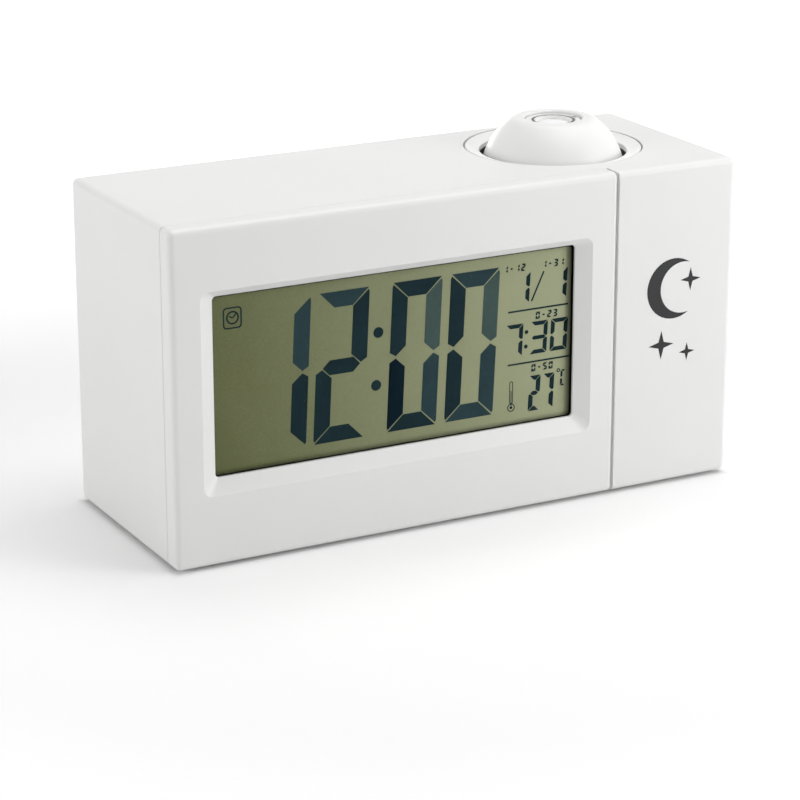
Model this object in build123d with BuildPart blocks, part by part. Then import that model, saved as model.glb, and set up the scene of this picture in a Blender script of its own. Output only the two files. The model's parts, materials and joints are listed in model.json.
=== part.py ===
"""Projection alarm clock: a box housing with a display and a swivelling projector ball.

Units are millimetres. X runs to the right, the front faces -Y and Z is up. The origin is the
middle of the underside: half way across the width and the depth, at the soles of the feet.
"""
import os
from math import acos, asin, cos, degrees, radians, sin, sqrt

from build123d import *

os.makedirs("parts", exist_ok=True)

# ---------------------------------------------------------------- driving dimensions

# housing
width = 150.0
depth = 57.0
top_z = 81.0
wall = 2.5
edge_radius = 1.5
foot_proud = 0.6

# clearances
seam = 0.15  # between two fixed mouldings
gap = 0.3  # between pieces that move past each other
fit = 0.05  # radial, round a pin or a sliding barrel
near = 0.001  # how closely an edge is looked for at its place

# front: bezel at the left, plain panel at the right
panel_width = 33.1
groove = 0.6
groove_depth = 0.9
bezel_depth = 5.0
bezel_wall = 2.6
bezel_end_radius = 0.8
seam_round = 0.25
tongue_length = 2.2
tongue_thickness = 1.2
flange_length = 8.0
lug_thickness = 2.0
lug_side = 2.6
bezel_boss_radius = 2.3

# display window and what stands behind it
view_width = 95.0
view_height = 43.0
view_from_left = 11.0
view_from_floor = 21.2
view_corner = 1.0
bevel_side = 3.75
bevel_top = 1.8
bevel_depth = 2.0
bevel_corner = 2.25
window_margin = 2.0
window_thickness = 1.0
glass_margin_x = 1.2
glass_margin_z = 2.5
glass_thickness = 2.2
backlight_thickness = 3.2
lcd_frame_wall = 1.2
lcd_frame_depth = 6.7
board_thickness = 1.6
board_margin_left = 4.5
board_margin_right = 7.3
board_low = 10.5
board_margin_top = 4.75  # above the display's frame
board_boss_inset = 3.2
plate_corner = 0.5
board_boss_radius = 2.2
strip_thickness = 2.0
chip_radius = 7.0
chip_height = 1.6
crystal_radius = 1.5
crystal_round = 0.4
crystal_length = 8.0

# screws
screw_radius = 1.1
screw_pilot = 1.15
screw_hole = 1.4
screw_head_radius = 2.2
screw_head_height = 1.3
screw_cross_length = 2.4
screw_cross_width = 0.55
cover_boss_radius = 3.8
cover_boss_inset = 6.2
cover_boss_length = 20.0
cover_pilot_depth = 12.0
board_pilot_depth = 6.0
short_screw = 5.0
long_screw = 9.0

# feet
foot_radius = 5.0
foot_thickness = 1.6
foot_inset_x = 13.0
foot_inset_y = 11.0

# rear cover
cover_thickness = 2.0
cover_set_back = 0.5
ledge_width = 1.2
ledge_depth = 2.0

# battery pocket and door
battery_radius = 7.1
battery_length = 49.5
nub_radius = 2.7
nub_length = 1.0
battery_gap = 1.3
pocket_wall = 1.5
pocket_from_left = 13.5
pocket_low = 13.0
pocket_clearance = 0.7
spring_room = 6.7
spring_radius = 3.4
spring_wire = 0.4
spring_turns = 3
plate_thickness = 0.4
plate_size = 11.0
door_thickness = 1.8
door_overlap = 1.5
hinge_radius = 1.5
hinge_pin_radius = 0.8
hinge_pin_length = 1.6
rim_side = 3.0
rim_end = 1.2
rim_depth = 2.5
grip_width = 14.0
grip_height = 3.5
grip_depth = 0.8
rib_height = 0.4
rib_width = 1.2
latch_width = 12.0
latch_length = 7.0

# controls on the back
recess_depth = 1.4
recess_from_left = 12.0
recess_width = 68.0
recess_above_door = 5.4
recess_below_top = 5.0
recess_radius = 2.0
recess_lip = 1.5
button_names = ["light", "down", "up", "alarm", "mode"]
button_pitch = 12.5
button_row_drop = 7.5
button_length = 7.5
button_height = 4.6
button_proud = 1.0
button_flange = 0.9
button_travel = 0.8
switch_names = ["alarm", "projector"]
switch_row_rise = 3.5
switch_pitch = 25.0
switch_travel = 4.0
knob_length = 4.0
knob_height = 3.0
knob_base = 1.5
knob_groove_width = 0.6
knob_groove_depth = 0.5
knob_groove_pitch = 1.2
button_round = 0.4
stem_radius = 1.2
key_boss_radius = 2.0
key_boss_inset = 3.0
switch_body_height = 2.4
switch_body_width = 4.4
switch_body_length = 10.0
lever_length = 1.8
lever_width = 1.4
lever_depth = 1.2
key_board_depth = 6.0
dome_radius = 3.0
dome_height = 0.3
dome_edge = 0.27

# speaker, socket and sensor
speaker_radius = 14.0
speaker_depth = 5.0
speaker_from_right = 31.0
speaker_z = 29.0
slot_width = 1.6
slot_pitch = 3.4
slot_count = 7
socket_from_right = 14.0
socket_z = 58.0
socket_size = 10.0
socket_length = 12.0
socket_barrel_radius = 4.0
socket_bore = 2.75
socket_pin = 0.65
socket_depth = 9.5
socket_pin_sunk = 1.0
vent_count = 4
vent_pitch = 3.0
vent_length = 8.0
vent_width = 1.2
vent_from_recess = 9.0
speaker_wall = 1.5
speaker_clearance = 0.3
magnet_radius = 8.0
magnet_depth = 3.0
sensor_radius = 1.2
sensor_lead = 0.3
ribbon_width = 12.0
ribbon_thickness = 0.5
ribbon_bend = 4.0
connector_depth = 3.0
connector_height = 3.0
connector_ear = 1.0

# projector turret
turret_from_right = 32.8
turret_from_back = 25.3
ball_radius = 17.9
ball_wall = 1.6
ball_flat_radius = 9.92
ball_flat_round = 3.5
ball_centre_drop = 7.7  # below the housing's top
lens_hole_radius = 7.1
lens_hole_round = 0.5
sleeve_radius = 8.7
sleeve_depth = 3.2
dish_radius = 21.75
dish_gap = 0.4
seat_gap = 0.25
dish_flat = 0.3
dish_drop = 1.0
dish_thickness = 1.8
collar_thickness = 1.8
collar_length = 4.2
ledge_thickness = 1.95
seat_radius = 22.6
seat_to_screw = 6.0
clip_thickness = 0.7
clip_depth = 0.6
washer_thickness = 0.6
clip_radius = 22.0
clip_mouth = 24.0
arm_width = 11.0
pivot_radius = 2.0
pivot_boss_radius = 3.2

# optics in the ball
ring_recess = 0.7
ring_flange_radius = 8.2
ring_flange_height = 1.15
ring_notch = 1.6
barrel_radius = 5.15
barrel_wall = 0.5
barrel_above_centre = 5.75
barrel_bore = 4.0
focus_travel = 1.5
lens_thickness = 1.8
lens_bulge = 0.7
chassis_radius = 7.2
chassis_wall = 1.2
ear_width = 6.0
ear_thickness = 2.0
cell_size = 8.4
cell_thickness = 1.2
condenser_thickness = 2.2
condenser_bulge = 1.4
led_board_thickness = 1.0
led_radius = 2.5
led_height = 5.0
ball_boss_radius = 2.4
ball_column_radius = 3.3
column_clearance = 0.5
ball_pilot_depth = 8.0
ball_head_sunk = 1.5
pad_width = 3.4
pad_inset = 0.4
pad_height = 7.0
lip_height = 0.9
lip_thickness = 1.0
lead_hole_radius = 0.9
lens_set_back = 0.2
condenser_gap = 1.0

# ---------------------------------------------------------------- places worked out from them

left = -width / 2
right = width / 2
front = -depth / 2
back = depth / 2
base_z = foot_proud
inner_left = left + wall
inner_right = right - wall
inner_low = base_z + wall
inner_high = top_z - wall

panel_left = right - panel_width
bezel_right = panel_left - groove
opening_right = bezel_right + seam
bezel_back = front + bezel_depth
bezel_inside = front + bezel_wall
shell_front = bezel_back + seam
flange_back = front + flange_length

foot_xs = (left + foot_inset_x, right - foot_inset_x)
foot_ys = (front + foot_inset_y, back - foot_inset_y)

view_left = left + view_from_left
view_right = view_left + view_width
view_low = view_from_floor
view_high = view_low + view_height

window_front = bezel_inside
window_back = window_front + window_thickness
glass_left = view_left - glass_margin_x
glass_right = view_right + glass_margin_x
glass_low = view_low - glass_margin_z
glass_high = view_high + glass_margin_z
glass_front = window_back + seam
glass_back = glass_front + glass_thickness
backlight_front = glass_back + seam
backlight_back = backlight_front + backlight_thickness
frame_front = window_back
board_front = frame_front + lcd_frame_depth
board_back = board_front + board_thickness
board_left = left + board_margin_left
board_right = bezel_right - board_margin_right
board_high = glass_high + seam + lcd_frame_wall + board_margin_top
board_boss_xs = (board_left + board_boss_inset, board_right - board_boss_inset)
board_boss_zs = (board_low + board_boss_inset, board_high - board_boss_radius)
chip_x = view_left + view_width / 3
chip_z = view_low + view_height / 2

cover_back = back - cover_set_back
cover_front = cover_back - cover_thickness
cover_screw_xs = (left + cover_boss_inset, right - cover_boss_inset)
cover_screw_zs = (base_z + cover_boss_inset, top_z - cover_boss_inset)
lug_back = flange_back + lug_thickness
bezel_screw_low_z = inner_low + lug_side + gap
bezel_screw_high_z = inner_high - lug_side - gap
bezel_screws_at = [
    (inner_left + lug_side, bezel_screw_low_z),
    (inner_left + lug_side, bezel_screw_high_z),
    (bezel_right - wall - lug_side, bezel_screw_low_z),
]

battery_pitch = 2 * battery_radius + battery_gap
pocket_length = battery_length + nub_length + spring_room + 2 * plate_thickness
pocket_height = 2 * battery_radius + battery_pitch + 2 * pocket_clearance
pocket_left = left + pocket_from_left
pocket_right = pocket_left + pocket_length
pocket_high = pocket_low + pocket_height
door_left = pocket_left - door_overlap
door_right = pocket_right + door_overlap
door_low = pocket_low - door_overlap
door_high = pocket_high + door_overlap
door_front = cover_back - door_thickness
battery_y = door_front - pocket_clearance - battery_radius
pocket_front = battery_y - battery_radius - pocket_clearance
battery_zs = [pocket_low + pocket_clearance + battery_radius + i * battery_pitch for i in range(2)]
hinge_y = cover_back - hinge_radius
hinge_z = door_low + hinge_radius

recess_left = left + recess_from_left
recess_right = recess_left + recess_width
recess_low = door_high + recess_above_door
recess_high = inner_high - recess_below_top
recess_height = recess_high - recess_low
recess_floor = cover_back - recess_depth
button_row_z = recess_high - button_row_drop
switch_row_z = recess_low + switch_row_rise
plate_front = recess_floor - cover_thickness
button_xs = [recess_left + recess_width / 2 + (i - 2) * button_pitch for i in range(5)]
switch_xs = [recess_left + recess_width / 2 + (i - 0.5) * switch_pitch for i in range(2)]
key_board_back = plate_front - key_board_depth + board_thickness
key_board_front = key_board_back - board_thickness
key_screw_xs = (recess_left + key_boss_inset, recess_right - key_boss_inset)
key_screw_zs = (recess_low + key_boss_inset, recess_high - key_boss_inset)
button_back = recess_floor + button_proud
button_flange_back = plate_front - gap
button_flange_front = button_flange_back - button_flange
stem_front = key_board_back + dome_height + button_travel + gap
switch_body_back = key_board_back + switch_body_height
knob_front = switch_body_back + gap

vent_x = recess_right + vent_from_recess
sensor_z = switch_row_z + vent_count * vent_pitch / 2
sensor_y = key_board_back - board_thickness / 2
ribbon_x = recess_left + recess_width / 3
ribbon_low_z = chip_z + chip_radius + connector_height
ribbon_high_z = recess_high - recess_height / 3

speaker_x = right - speaker_from_right
socket_x = right - socket_from_right

turret_x = right - turret_from_right
turret_y = back - turret_from_back
turret_axis = Axis((turret_x, turret_y, 0), (0, 0, 1))
turret_section = Plane((turret_x, turret_y, 0), x_dir=(1, 0, 0), z_dir=(0, -1, 0))
turret_side = Plane((turret_x, turret_y, 0), x_dir=(0, 1, 0), z_dir=(1, 0, 0))
bore_radius = ball_radius + gap
collar_radius = bore_radius + collar_thickness
seat_bore = collar_radius + gap
dish_low_z = top_z - dish_thickness
ledge_high = dish_low_z - seat_gap
ledge_low = ledge_high - ledge_thickness
washer_high = ledge_low - fit
washer_low = washer_high - washer_thickness
clip_high = washer_low
clip_low = clip_high - clip_thickness
collar_low = dish_low_z - collar_length
# the fourth bezel screw stands clear of the turntable's seat
bezel_screws_at.append((turret_x - seat_radius - seat_to_screw, bezel_screw_high_z))

ball_inner = ball_radius - ball_wall
ball_centre_z = top_z - ball_centre_drop
ball_top_z = ball_centre_z + sqrt(ball_radius ** 2 - ball_flat_radius ** 2)
sleeve_low_z = ball_top_z - sleeve_depth
sleeve_inner_z = ball_centre_z + sqrt(ball_inner ** 2 - sleeve_radius ** 2)
lip_low = ball_centre_z - 2 * lip_height
pad_inner = ball_inner - pad_inset - pad_width
boss_inner = ball_inner - lip_thickness
chassis_low_z = (ball_centre_z - sqrt(ball_inner ** 2 - chassis_radius ** 2) + gap
                 + led_board_thickness)
ball_screw_offset = chassis_radius + column_clearance + ball_column_radius
ball_head_z = (ball_centre_z - sqrt(ball_radius ** 2 - ball_screw_offset ** 2)
               + ball_head_sunk + screw_head_height)
# the upper columns end within the thickness of the shell
column_height = sqrt((ball_radius - ball_wall / 2) ** 2 - (ball_screw_offset + ball_boss_radius) ** 2)

ring_top = ball_top_z - ring_recess
ring_outer = lens_hole_radius - gap
ring_inner = barrel_radius + gap
flange_high = sleeve_low_z - gap
flange_low = flange_high - ring_flange_height
chassis_high = flange_low - gap
barrel_top = ring_top - fit
barrel_low = ball_centre_z + barrel_above_centre
cell_high = barrel_low - focus_travel - gap
cell_low = cell_high - cell_thickness


# ---------------------------------------------------------------- small helpers

def upright(y):
    """Plane at depth y: sketch x is X, sketch y is Z, and an extrusion runs to the front."""
    return Plane((0, y, 0), x_dir=(1, 0, 0), z_dir=(0, -1, 0))


def turned_section(x, z):
    """Half-section plane of a round piece whose axis runs along Y through (x, z)."""
    return Plane((x, 0, z), x_dir=(1, 0, 0), z_dir=(0, 0, 1))


def dome_points(radius, edge, crown):
    """Rim, half-way point and crown of a round cap, as (radius, height) in its half-section."""
    rise = crown - edge
    sphere = (radius ** 2 + rise ** 2) / (2 * rise)
    half_angle = asin(radius / abs(sphere)) / 2
    middle = (abs(sphere) * sin(half_angle), crown - sphere * (1 - cos(half_angle)))
    return (radius, edge), middle, (0, crown)


def edges_at(piece, axis, value):
    """Edges whose middle lies at one place along an axis."""
    return piece.edges().filter_by_position(axis, value - near, value + near)


def block(x0, x1, y0, y1, z0, z1, mode=Mode.ADD):
    """Box between two corners, in the part that is being built."""
    with Locations(((x0 + x1) / 2, (y0 + y1) / 2, (z0 + z1) / 2)):
        Box(x1 - x0, y1 - y0, z1 - z0, mode=mode)


def outline(x0, x1, z0, z1, radius):
    """Rounded rectangle between two corners, in the sketch that is being drawn."""
    with Locations(((x0 + x1) / 2, (z0 + z1) / 2)):
        RectangleRounded(x1 - x0, z1 - z0, radius)


def rod(x, z, radius, y0, y1, mode=Mode.ADD):
    """Round bar along Y, in the part that is being built."""
    with Locations(Location((x, (y0 + y1) / 2, z), (90, 0, 0))):
        Cylinder(radius, y1 - y0, mode=mode)


def disc(radius, z0, z1, mode=Mode.ADD, x=None, y=None):
    """Upright round bar, on the turret's axis unless placed elsewhere."""
    place = (turret_x if x is None else x, turret_y if y is None else y, (z0 + z1) / 2)
    with Locations(place):
        Cylinder(radius, z1 - z0, mode=mode)


def crossbar(radius, x0, x1, y, z, mode=Mode.ADD):
    """Round bar along X, in the part that is being built."""
    with Locations(Location(((x0 + x1) / 2, y, z), (0, 90, 0))):
        Cylinder(radius, x1 - x0, mode=mode)


def screws_along_y(points, head_y, length, inwards, turns=()):
    """Screws with shanks from head_y towards inwards (-1 to the front, +1 to the back).

    Each turn, in degrees, cuts one slot into the heads.
    """
    for x, z in points:
        tip = head_y + inwards * length
        rod(x, z, screw_radius, min(head_y, tip), max(head_y, tip))
        crown = head_y - inwards * screw_head_height
        rod(x, z, screw_head_radius, min(head_y, crown), max(head_y, crown))
        for turn in turns:
            with Locations(Location((x, crown, z), (0, turn, 0))):
                Box(screw_cross_length, screw_head_height, screw_cross_width, mode=Mode.SUBTRACT)


# ---------------------------------------------------------------- housing

with BuildPart() as main_shell:
    block(left, right, front, back, base_z, top_z)
    fillet(main_shell.edges(), edge_radius)
    # the left part of the front is left open for the bezel, with a groove between the two
    block(left - wall, opening_right, front - wall, shell_front, 0, top_z + wall, Mode.SUBTRACT)
    seam_edges = edges_at(main_shell, Axis.Y, shell_front)
    fillet(seam_edges.filter_by_position(Axis.X, left - wall, opening_right - wall), seam_round)
    block(bezel_right, panel_left, front - wall, front + groove_depth, 0, top_z + wall,
          Mode.SUBTRACT)
    # hollow from behind, and from the front beside the panel's return flange
    block(inner_left, inner_right, flange_back, back + wall, inner_low, inner_high, Mode.SUBTRACT)
    block(inner_left, opening_right, front, flange_back, inner_low, inner_high, Mode.SUBTRACT)
    block(panel_left + wall, inner_right, front + wall, flange_back, inner_low, inner_high,
          Mode.SUBTRACT)
    # ledge that the rear cover closes against
    with BuildSketch(upright(cover_front - seam)):
        with Locations((0, (inner_low + inner_high) / 2)):
            Rectangle(inner_right - inner_left, inner_high - inner_low)
            Rectangle(inner_right - inner_left - 2 * ledge_width,
                      inner_high - inner_low - 2 * ledge_width, mode=Mode.SUBTRACT)
    extrude(amount=ledge_depth)
    # bosses for the rear cover's screws
    boss_front = cover_front - seam - cover_boss_length
    for x in cover_screw_xs:
        for z in cover_screw_zs:
            rod(x, z, cover_boss_radius, boss_front, cover_front - seam)
            rod(x, z, screw_pilot, cover_front - cover_pilot_depth, cover_front, Mode.SUBTRACT)
    # lugs behind the bezel's bosses
    for x, z in bezel_screws_at:
        edge_x = inner_left if x < 0 else x + lug_side
        edge_z = inner_low if z < top_z / 2 else inner_high
        reach_x = 2 * x - edge_x
        reach_z = 2 * z - edge_z
        block(min(edge_x, reach_x), max(edge_x, reach_x), flange_back, lug_back,
              min(edge_z, reach_z), max(edge_z, reach_z))
        rod(x, z, screw_hole, flange_back, lug_back, Mode.SUBTRACT)
    # seat of the turntable: a stiffened ring under the top, with a ledge
    disc(seat_radius, ledge_low, inner_high)
    disc(seat_bore, ledge_low, top_z, Mode.SUBTRACT)
    disc(dish_radius + dish_gap, ledge_high, top_z, Mode.SUBTRACT)
    # shallow pockets that hold the feet
    for x in foot_xs:
        for y in foot_ys:
            disc(foot_radius + fit, base_z, foot_thickness, Mode.SUBTRACT, x, y)
main_shell.part.label = "main_shell"
export_step(main_shell.part, "parts/main_shell.step")

with BuildPart() as front_bezel:
    block(left, bezel_right, front, bezel_back, base_z, top_z)
    rear_edges = edges_at(front_bezel, Axis.Y, bezel_back)
    end_edges = edges_at(front_bezel, Axis.X, bezel_right)
    fillet(front_bezel.edges() - rear_edges - end_edges, edge_radius)
    rear_edges = edges_at(front_bezel, Axis.Y, bezel_back)
    end_edges = edges_at(front_bezel, Axis.X, bezel_right)
    fillet(end_edges - rear_edges, bezel_end_radius)
    fillet(edges_at(front_bezel, Axis.Y, bezel_back), seam_round)
    # tongue that locates the bezel in the shell, and the hollow behind the front wall
    tongue_back = bezel_back + tongue_length
    tongue_left = inner_left + seam
    tongue_right = bezel_right - wall + tongue_thickness
    block(tongue_left, tongue_right, bezel_inside, tongue_back, inner_low + seam,
          inner_high - seam)
    block(tongue_left + tongue_thickness, bezel_right - wall, bezel_inside, tongue_back,
          inner_low + seam + tongue_thickness, inner_high - seam - tongue_thickness,
          Mode.SUBTRACT)
    # bevelled window
    with BuildSketch(upright(front)):
        outline(view_left - bevel_side, view_right + bevel_side, view_low - bevel_side,
                view_high + bevel_top, bevel_corner)
    with BuildSketch(upright(front + bevel_depth)):
        outline(view_left, view_right, view_low, view_high, view_corner)
    loft(mode=Mode.SUBTRACT)
    with BuildSketch(upright(bezel_inside)):
        outline(view_left, view_right, view_low, view_high, view_corner)
    extrude(amount=bezel_wall - bevel_depth, mode=Mode.SUBTRACT)
    # bosses for the main board and for the screws that hold the bezel to the shell
    for x in board_boss_xs:
        for z in board_boss_zs:
            rod(x, z, board_boss_radius, bezel_inside, board_front)
            rod(x, z, screw_pilot, board_front - board_pilot_depth, board_front, Mode.SUBTRACT)
    for x, z in bezel_screws_at:
        rod(x, z, bezel_boss_radius, bezel_inside, flange_back - seam)
        rod(x, z, screw_pilot, bezel_inside + seam, flange_back, Mode.SUBTRACT)
front_bezel.part.label = "front_bezel"
export_step(front_bezel.part, "parts/front_bezel.step")

with BuildPart() as rubber_feet:
    for x in foot_xs:
        for y in foot_ys:
            disc(foot_radius, 0, foot_thickness, x=x, y=y)
    chamfer(edges_at(rubber_feet, Axis.Z, 0), foot_proud / 2)
rubber_feet.part.label = "rubber_feet"
export_step(rubber_feet.part, "parts/rubber_feet.step")

# ---------------------------------------------------------------- display

with BuildPart() as display_window:
    block(view_left - window_margin, view_right + window_margin, window_front, window_back,
          view_low - window_margin, view_high + window_margin)
    fillet(display_window.edges().filter_by(Axis.Y), plate_corner)
display_window.part.label = "display_window"
export_step(display_window.part, "parts/display_window.step")

with BuildPart() as lcd_panel:
    block(glass_left, glass_right, glass_front, glass_back, glass_low, glass_high)
    # the rear sheet is shorter, so the contact ledges along both long edges are bare
    middle_y = (glass_front + glass_back) / 2
    for z0, z1 in ((glass_low, glass_low + strip_thickness),
                   (glass_high - strip_thickness, glass_high)):
        block(glass_left, glass_right, middle_y, glass_back, z0, z1, Mode.SUBTRACT)
lcd_panel.part.label = "lcd_panel"
export_step(lcd_panel.part, "parts/lcd_panel.step")

with BuildPart() as backlight_panel:
    block(glass_left + seam, glass_right - seam, backlight_front, backlight_back,
          glass_low + strip_thickness + seam, glass_high - strip_thickness - seam)
backlight_panel.part.label = "backlight_panel"
export_step(backlight_panel.part, "parts/backlight_panel.step")

with BuildPart() as elastomer_strips:
    for z in (glass_low, glass_high - strip_thickness + seam):
        block(glass_left + seam, glass_right - seam, middle_y, board_front - fit, z,
              z + strip_thickness - seam)
elastomer_strips.part.label = "elastomer_strips"
export_step(elastomer_strips.part, "parts/elastomer_strips.step")

with BuildPart() as lcd_frame:
    block(glass_left - seam - lcd_frame_wall, glass_right + seam + lcd_frame_wall, glass_front,
          board_front - seam, glass_low - seam - lcd_frame_wall,
          glass_high + seam + lcd_frame_wall)
    block(glass_left - seam, glass_right + seam, glass_front, board_front, glass_low - seam,
          glass_high + seam, Mode.SUBTRACT)
    fillet(lcd_frame.edges().filter_by(Axis.Y).group_by(SortBy.DISTANCE)[-1], plate_corner)
lcd_frame.part.label = "lcd_frame"
export_step(lcd_frame.part, "parts/lcd_frame.step")

with BuildPart() as main_board:
    with BuildSketch(upright(board_back)):
        outline(board_left, board_right, board_low, board_high, plate_corner)
        with Locations(*[(x, z) for x in board_boss_xs for z in board_boss_zs]):
            Circle(screw_hole, mode=Mode.SUBTRACT)
    extrude(amount=board_thickness)
main_board.part.label = "main_board"
export_step(main_board.part, "parts/main_board.step")

with BuildPart() as controller_chip:
    with BuildSketch(turned_section(chip_x, chip_z)):
        with BuildLine():
            Line((0, board_back), (chip_radius, board_back))
            ThreePointArc(*dome_points(chip_radius, board_back, board_back + chip_height))
            Line((0, board_back + chip_height), (0, board_back))
        make_face()
    revolve(axis=Axis((chip_x, 0, chip_z), (0, 1, 0)))
controller_chip.part.label = "controller_chip"
export_step(controller_chip.part, "parts/controller_chip.step")

with BuildPart() as quartz_crystal:
    crossbar(crystal_radius, chip_x + 2 * chip_radius, chip_x + 2 * chip_radius + crystal_length,
             board_back + crystal_radius, chip_z)
    chamfer(quartz_crystal.edges().filter_by(GeomType.CIRCLE), crystal_round)
quartz_crystal.part.label = "quartz_crystal"
export_step(quartz_crystal.part, "parts/quartz_crystal.step")

# ---------------------------------------------------------------- rear cover and battery door

with BuildPart() as rear_cover:
    with BuildSketch(upright(cover_back)):
        outline(inner_left + seam, inner_right - seam, inner_low + seam, inner_high - seam,
                plate_corner)
    extrude(amount=cover_thickness)
    chamfer(edges_at(rear_cover, Axis.Y, cover_back), seam_round)
    # battery pocket with a stiff rim round the door
    block(pocket_left - pocket_wall, pocket_right + pocket_wall, pocket_front - pocket_wall,
          cover_front, pocket_low - pocket_wall, pocket_high + pocket_wall)
    block(door_left - rim_side, door_right + rim_side, cover_front - rim_depth, cover_front,
          door_low - rim_end, door_high + rim_end)
    block(pocket_left, pocket_right, pocket_front, back, pocket_low, pocket_high, Mode.SUBTRACT)
    block(door_left - gap, door_right + gap, door_front - gap, back, door_low - gap,
          door_high + gap, Mode.SUBTRACT)
    block(door_left - gap, door_right + gap, hinge_y - hinge_radius - gap, back,
          door_low - gap, hinge_z + hinge_radius + gap, Mode.SUBTRACT)
    crossbar(hinge_pin_radius + fit, door_left - hinge_pin_length - gap,
             door_right + hinge_pin_length + gap, hinge_y, hinge_z, Mode.SUBTRACT)
    # finger grip above the door
    with BuildSketch(upright(cover_back)):
        with Locations(((pocket_left + pocket_right) / 2, door_high + gap)):
            SlotOverall(grip_width, 2 * grip_height)
    extrude(amount=grip_depth, mode=Mode.SUBTRACT)
    # sunk panel for the controls
    block(recess_left - recess_lip, recess_right + recess_lip, plate_front, cover_front,
          recess_low - recess_lip, recess_high + recess_lip)
    with BuildSketch(upright(cover_back)):
        outline(recess_left, recess_right, recess_low, recess_high, recess_radius)
    extrude(amount=recess_depth, mode=Mode.SUBTRACT)
    with BuildSketch(upright(recess_floor)):
        with Locations(*[(x, button_row_z) for x in button_xs]):
            RectangleRounded(button_length + 2 * gap, button_height + 2 * gap, button_height / 2)
        with Locations(*[(x, switch_row_z) for x in switch_xs]):
            Rectangle(knob_length + switch_travel + 2 * gap, knob_height + 2 * gap)
    extrude(amount=cover_thickness, mode=Mode.SUBTRACT)
    # posts for the key board
    for x in key_screw_xs:
        for z in key_screw_zs:
            rod(x, z, key_boss_radius, key_board_back, plate_front)
            rod(x, z, screw_pilot, key_board_back, plate_front, Mode.SUBTRACT)
    # speaker: ring wall and slots, longer towards the middle
    rod(speaker_x, speaker_z, speaker_radius + speaker_clearance + speaker_wall,
        cover_front - speaker_depth, cover_front)
    rod(speaker_x, speaker_z, speaker_radius + speaker_clearance, cover_front - speaker_depth,
        cover_front, Mode.SUBTRACT)
    with BuildSketch(upright(cover_back)):
        for i in range(slot_count):
            offset_x = (i - (slot_count - 1) / 2) * slot_pitch
            slot_length = 2 * sqrt((speaker_radius - slot_width) ** 2 - offset_x ** 2)
            with Locations((speaker_x + offset_x, speaker_z)):
                SlotOverall(slot_length, slot_width, rotation=90)
        # vents beside the controls, in front of the temperature sensor
        for i in range(vent_count):
            with Locations((vent_x, switch_row_z + (i + 0.5) * vent_pitch)):
                SlotOverall(vent_length, vent_width)
        with Locations((socket_x, socket_z)):
            Circle(socket_barrel_radius + seam)
    extrude(amount=cover_thickness, mode=Mode.SUBTRACT)
    # counterbored holes for the cover's screws
    for x in cover_screw_xs:
        for z in cover_screw_zs:
            rod(x, z, screw_hole, cover_front, cover_back, Mode.SUBTRACT)
            rod(x, z, screw_head_radius + seam, cover_back - screw_head_height, cover_back,
                Mode.SUBTRACT)
rear_cover.part.label = "rear_cover"
export_step(rear_cover.part, "parts/rear_cover.step")

with BuildPart() as battery_door:
    block(door_left, door_right, door_front, cover_back, hinge_z, door_high)
    chamfer(edges_at(battery_door, Axis.Z, door_high).sort_by(Axis.Y)[-1], seam_round)
    crossbar(hinge_radius, door_left, door_right, hinge_y, hinge_z)
    crossbar(hinge_pin_radius, door_left - hinge_pin_length, door_right + hinge_pin_length,
             hinge_y, hinge_z)
    # stiffening ribs that keep the batteries in their troughs
    for z in battery_zs:
        block(pocket_left + pocket_wall, pocket_right - pocket_wall, door_front - rib_height,
              door_front, z - rib_width / 2, z + rib_width / 2)
    # latch tongue at the upper edge, cut free on both sides
    for side in (-1, 1):
        slit_x = (door_left + door_right) / 2 + side * latch_width / 2
        block(slit_x - gap, slit_x + gap, door_front, cover_back, door_high - latch_length,
              door_high, Mode.SUBTRACT)
battery_door.part.label = "battery_door"
export_step(battery_door.part, "parts/battery_door.step")

# ---------------------------------------------------------------- batteries and their contacts

spring_ends = [(1, battery_zs[0]), (-1, battery_zs[1])]
left_stop = pocket_left + plate_thickness
right_stop = pocket_right - plate_thickness

with BuildPart() as batteries:
    for side, z in spring_ends:
        # side 1: the nub meets the right plate, side -1: the left plate
        tip = right_stop if side == 1 else left_stop
        shoulder = tip - side * nub_length
        tail = shoulder - side * battery_length
        crossbar(battery_radius, min(shoulder, tail), max(shoulder, tail), battery_y, z)
        crossbar(nub_radius, min(tip, shoulder), max(tip, shoulder), battery_y, z)
batteries.part.label = "batteries"
export_step(batteries.part, "parts/batteries.step")

with BuildPart() as battery_plates:
    for z in battery_zs:
        for x0, x1 in ((pocket_left, left_stop), (right_stop, pocket_right)):
            block(x0, x1, battery_y - plate_size / 2, battery_y + plate_size / 2,
                  z - plate_size / 2, z + plate_size / 2)
battery_plates.part.label = "battery_plates"
export_step(battery_plates.part, "parts/battery_plates.step")

spring_length = spring_room - 2 * spring_wire

with BuildPart() as battery_springs:
    for side, z in spring_ends:
        foot = left_stop + spring_wire if side == 1 else right_stop - spring_wire
        with BuildLine() as coil_path:
            Helix(spring_length / spring_turns, spring_length, spring_radius,
                  center=(foot, battery_y, z), direction=(side, 0, 0))
        with BuildSketch(Plane(coil_path.line @ 0, z_dir=coil_path.line % 0)):
            RegularPolygon(spring_wire, 6)
        sweep(path=coil_path.line, is_frenet=True)
battery_springs.part.label = "battery_springs"
export_step(battery_springs.part, "parts/battery_springs.step")

# ---------------------------------------------------------------- controls

with BuildPart() as key_board:
    with BuildSketch(upright(key_board_back)):
        outline(recess_left + gap, recess_right - gap, recess_low + gap, recess_high - gap,
                plate_corner)
        with Locations(*[(x, z) for x in key_screw_xs for z in key_screw_zs]):
            Circle(screw_hole, mode=Mode.SUBTRACT)
    extrude(amount=board_thickness)
key_board.part.label = "key_board"
export_step(key_board.part, "parts/key_board.step")

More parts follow.
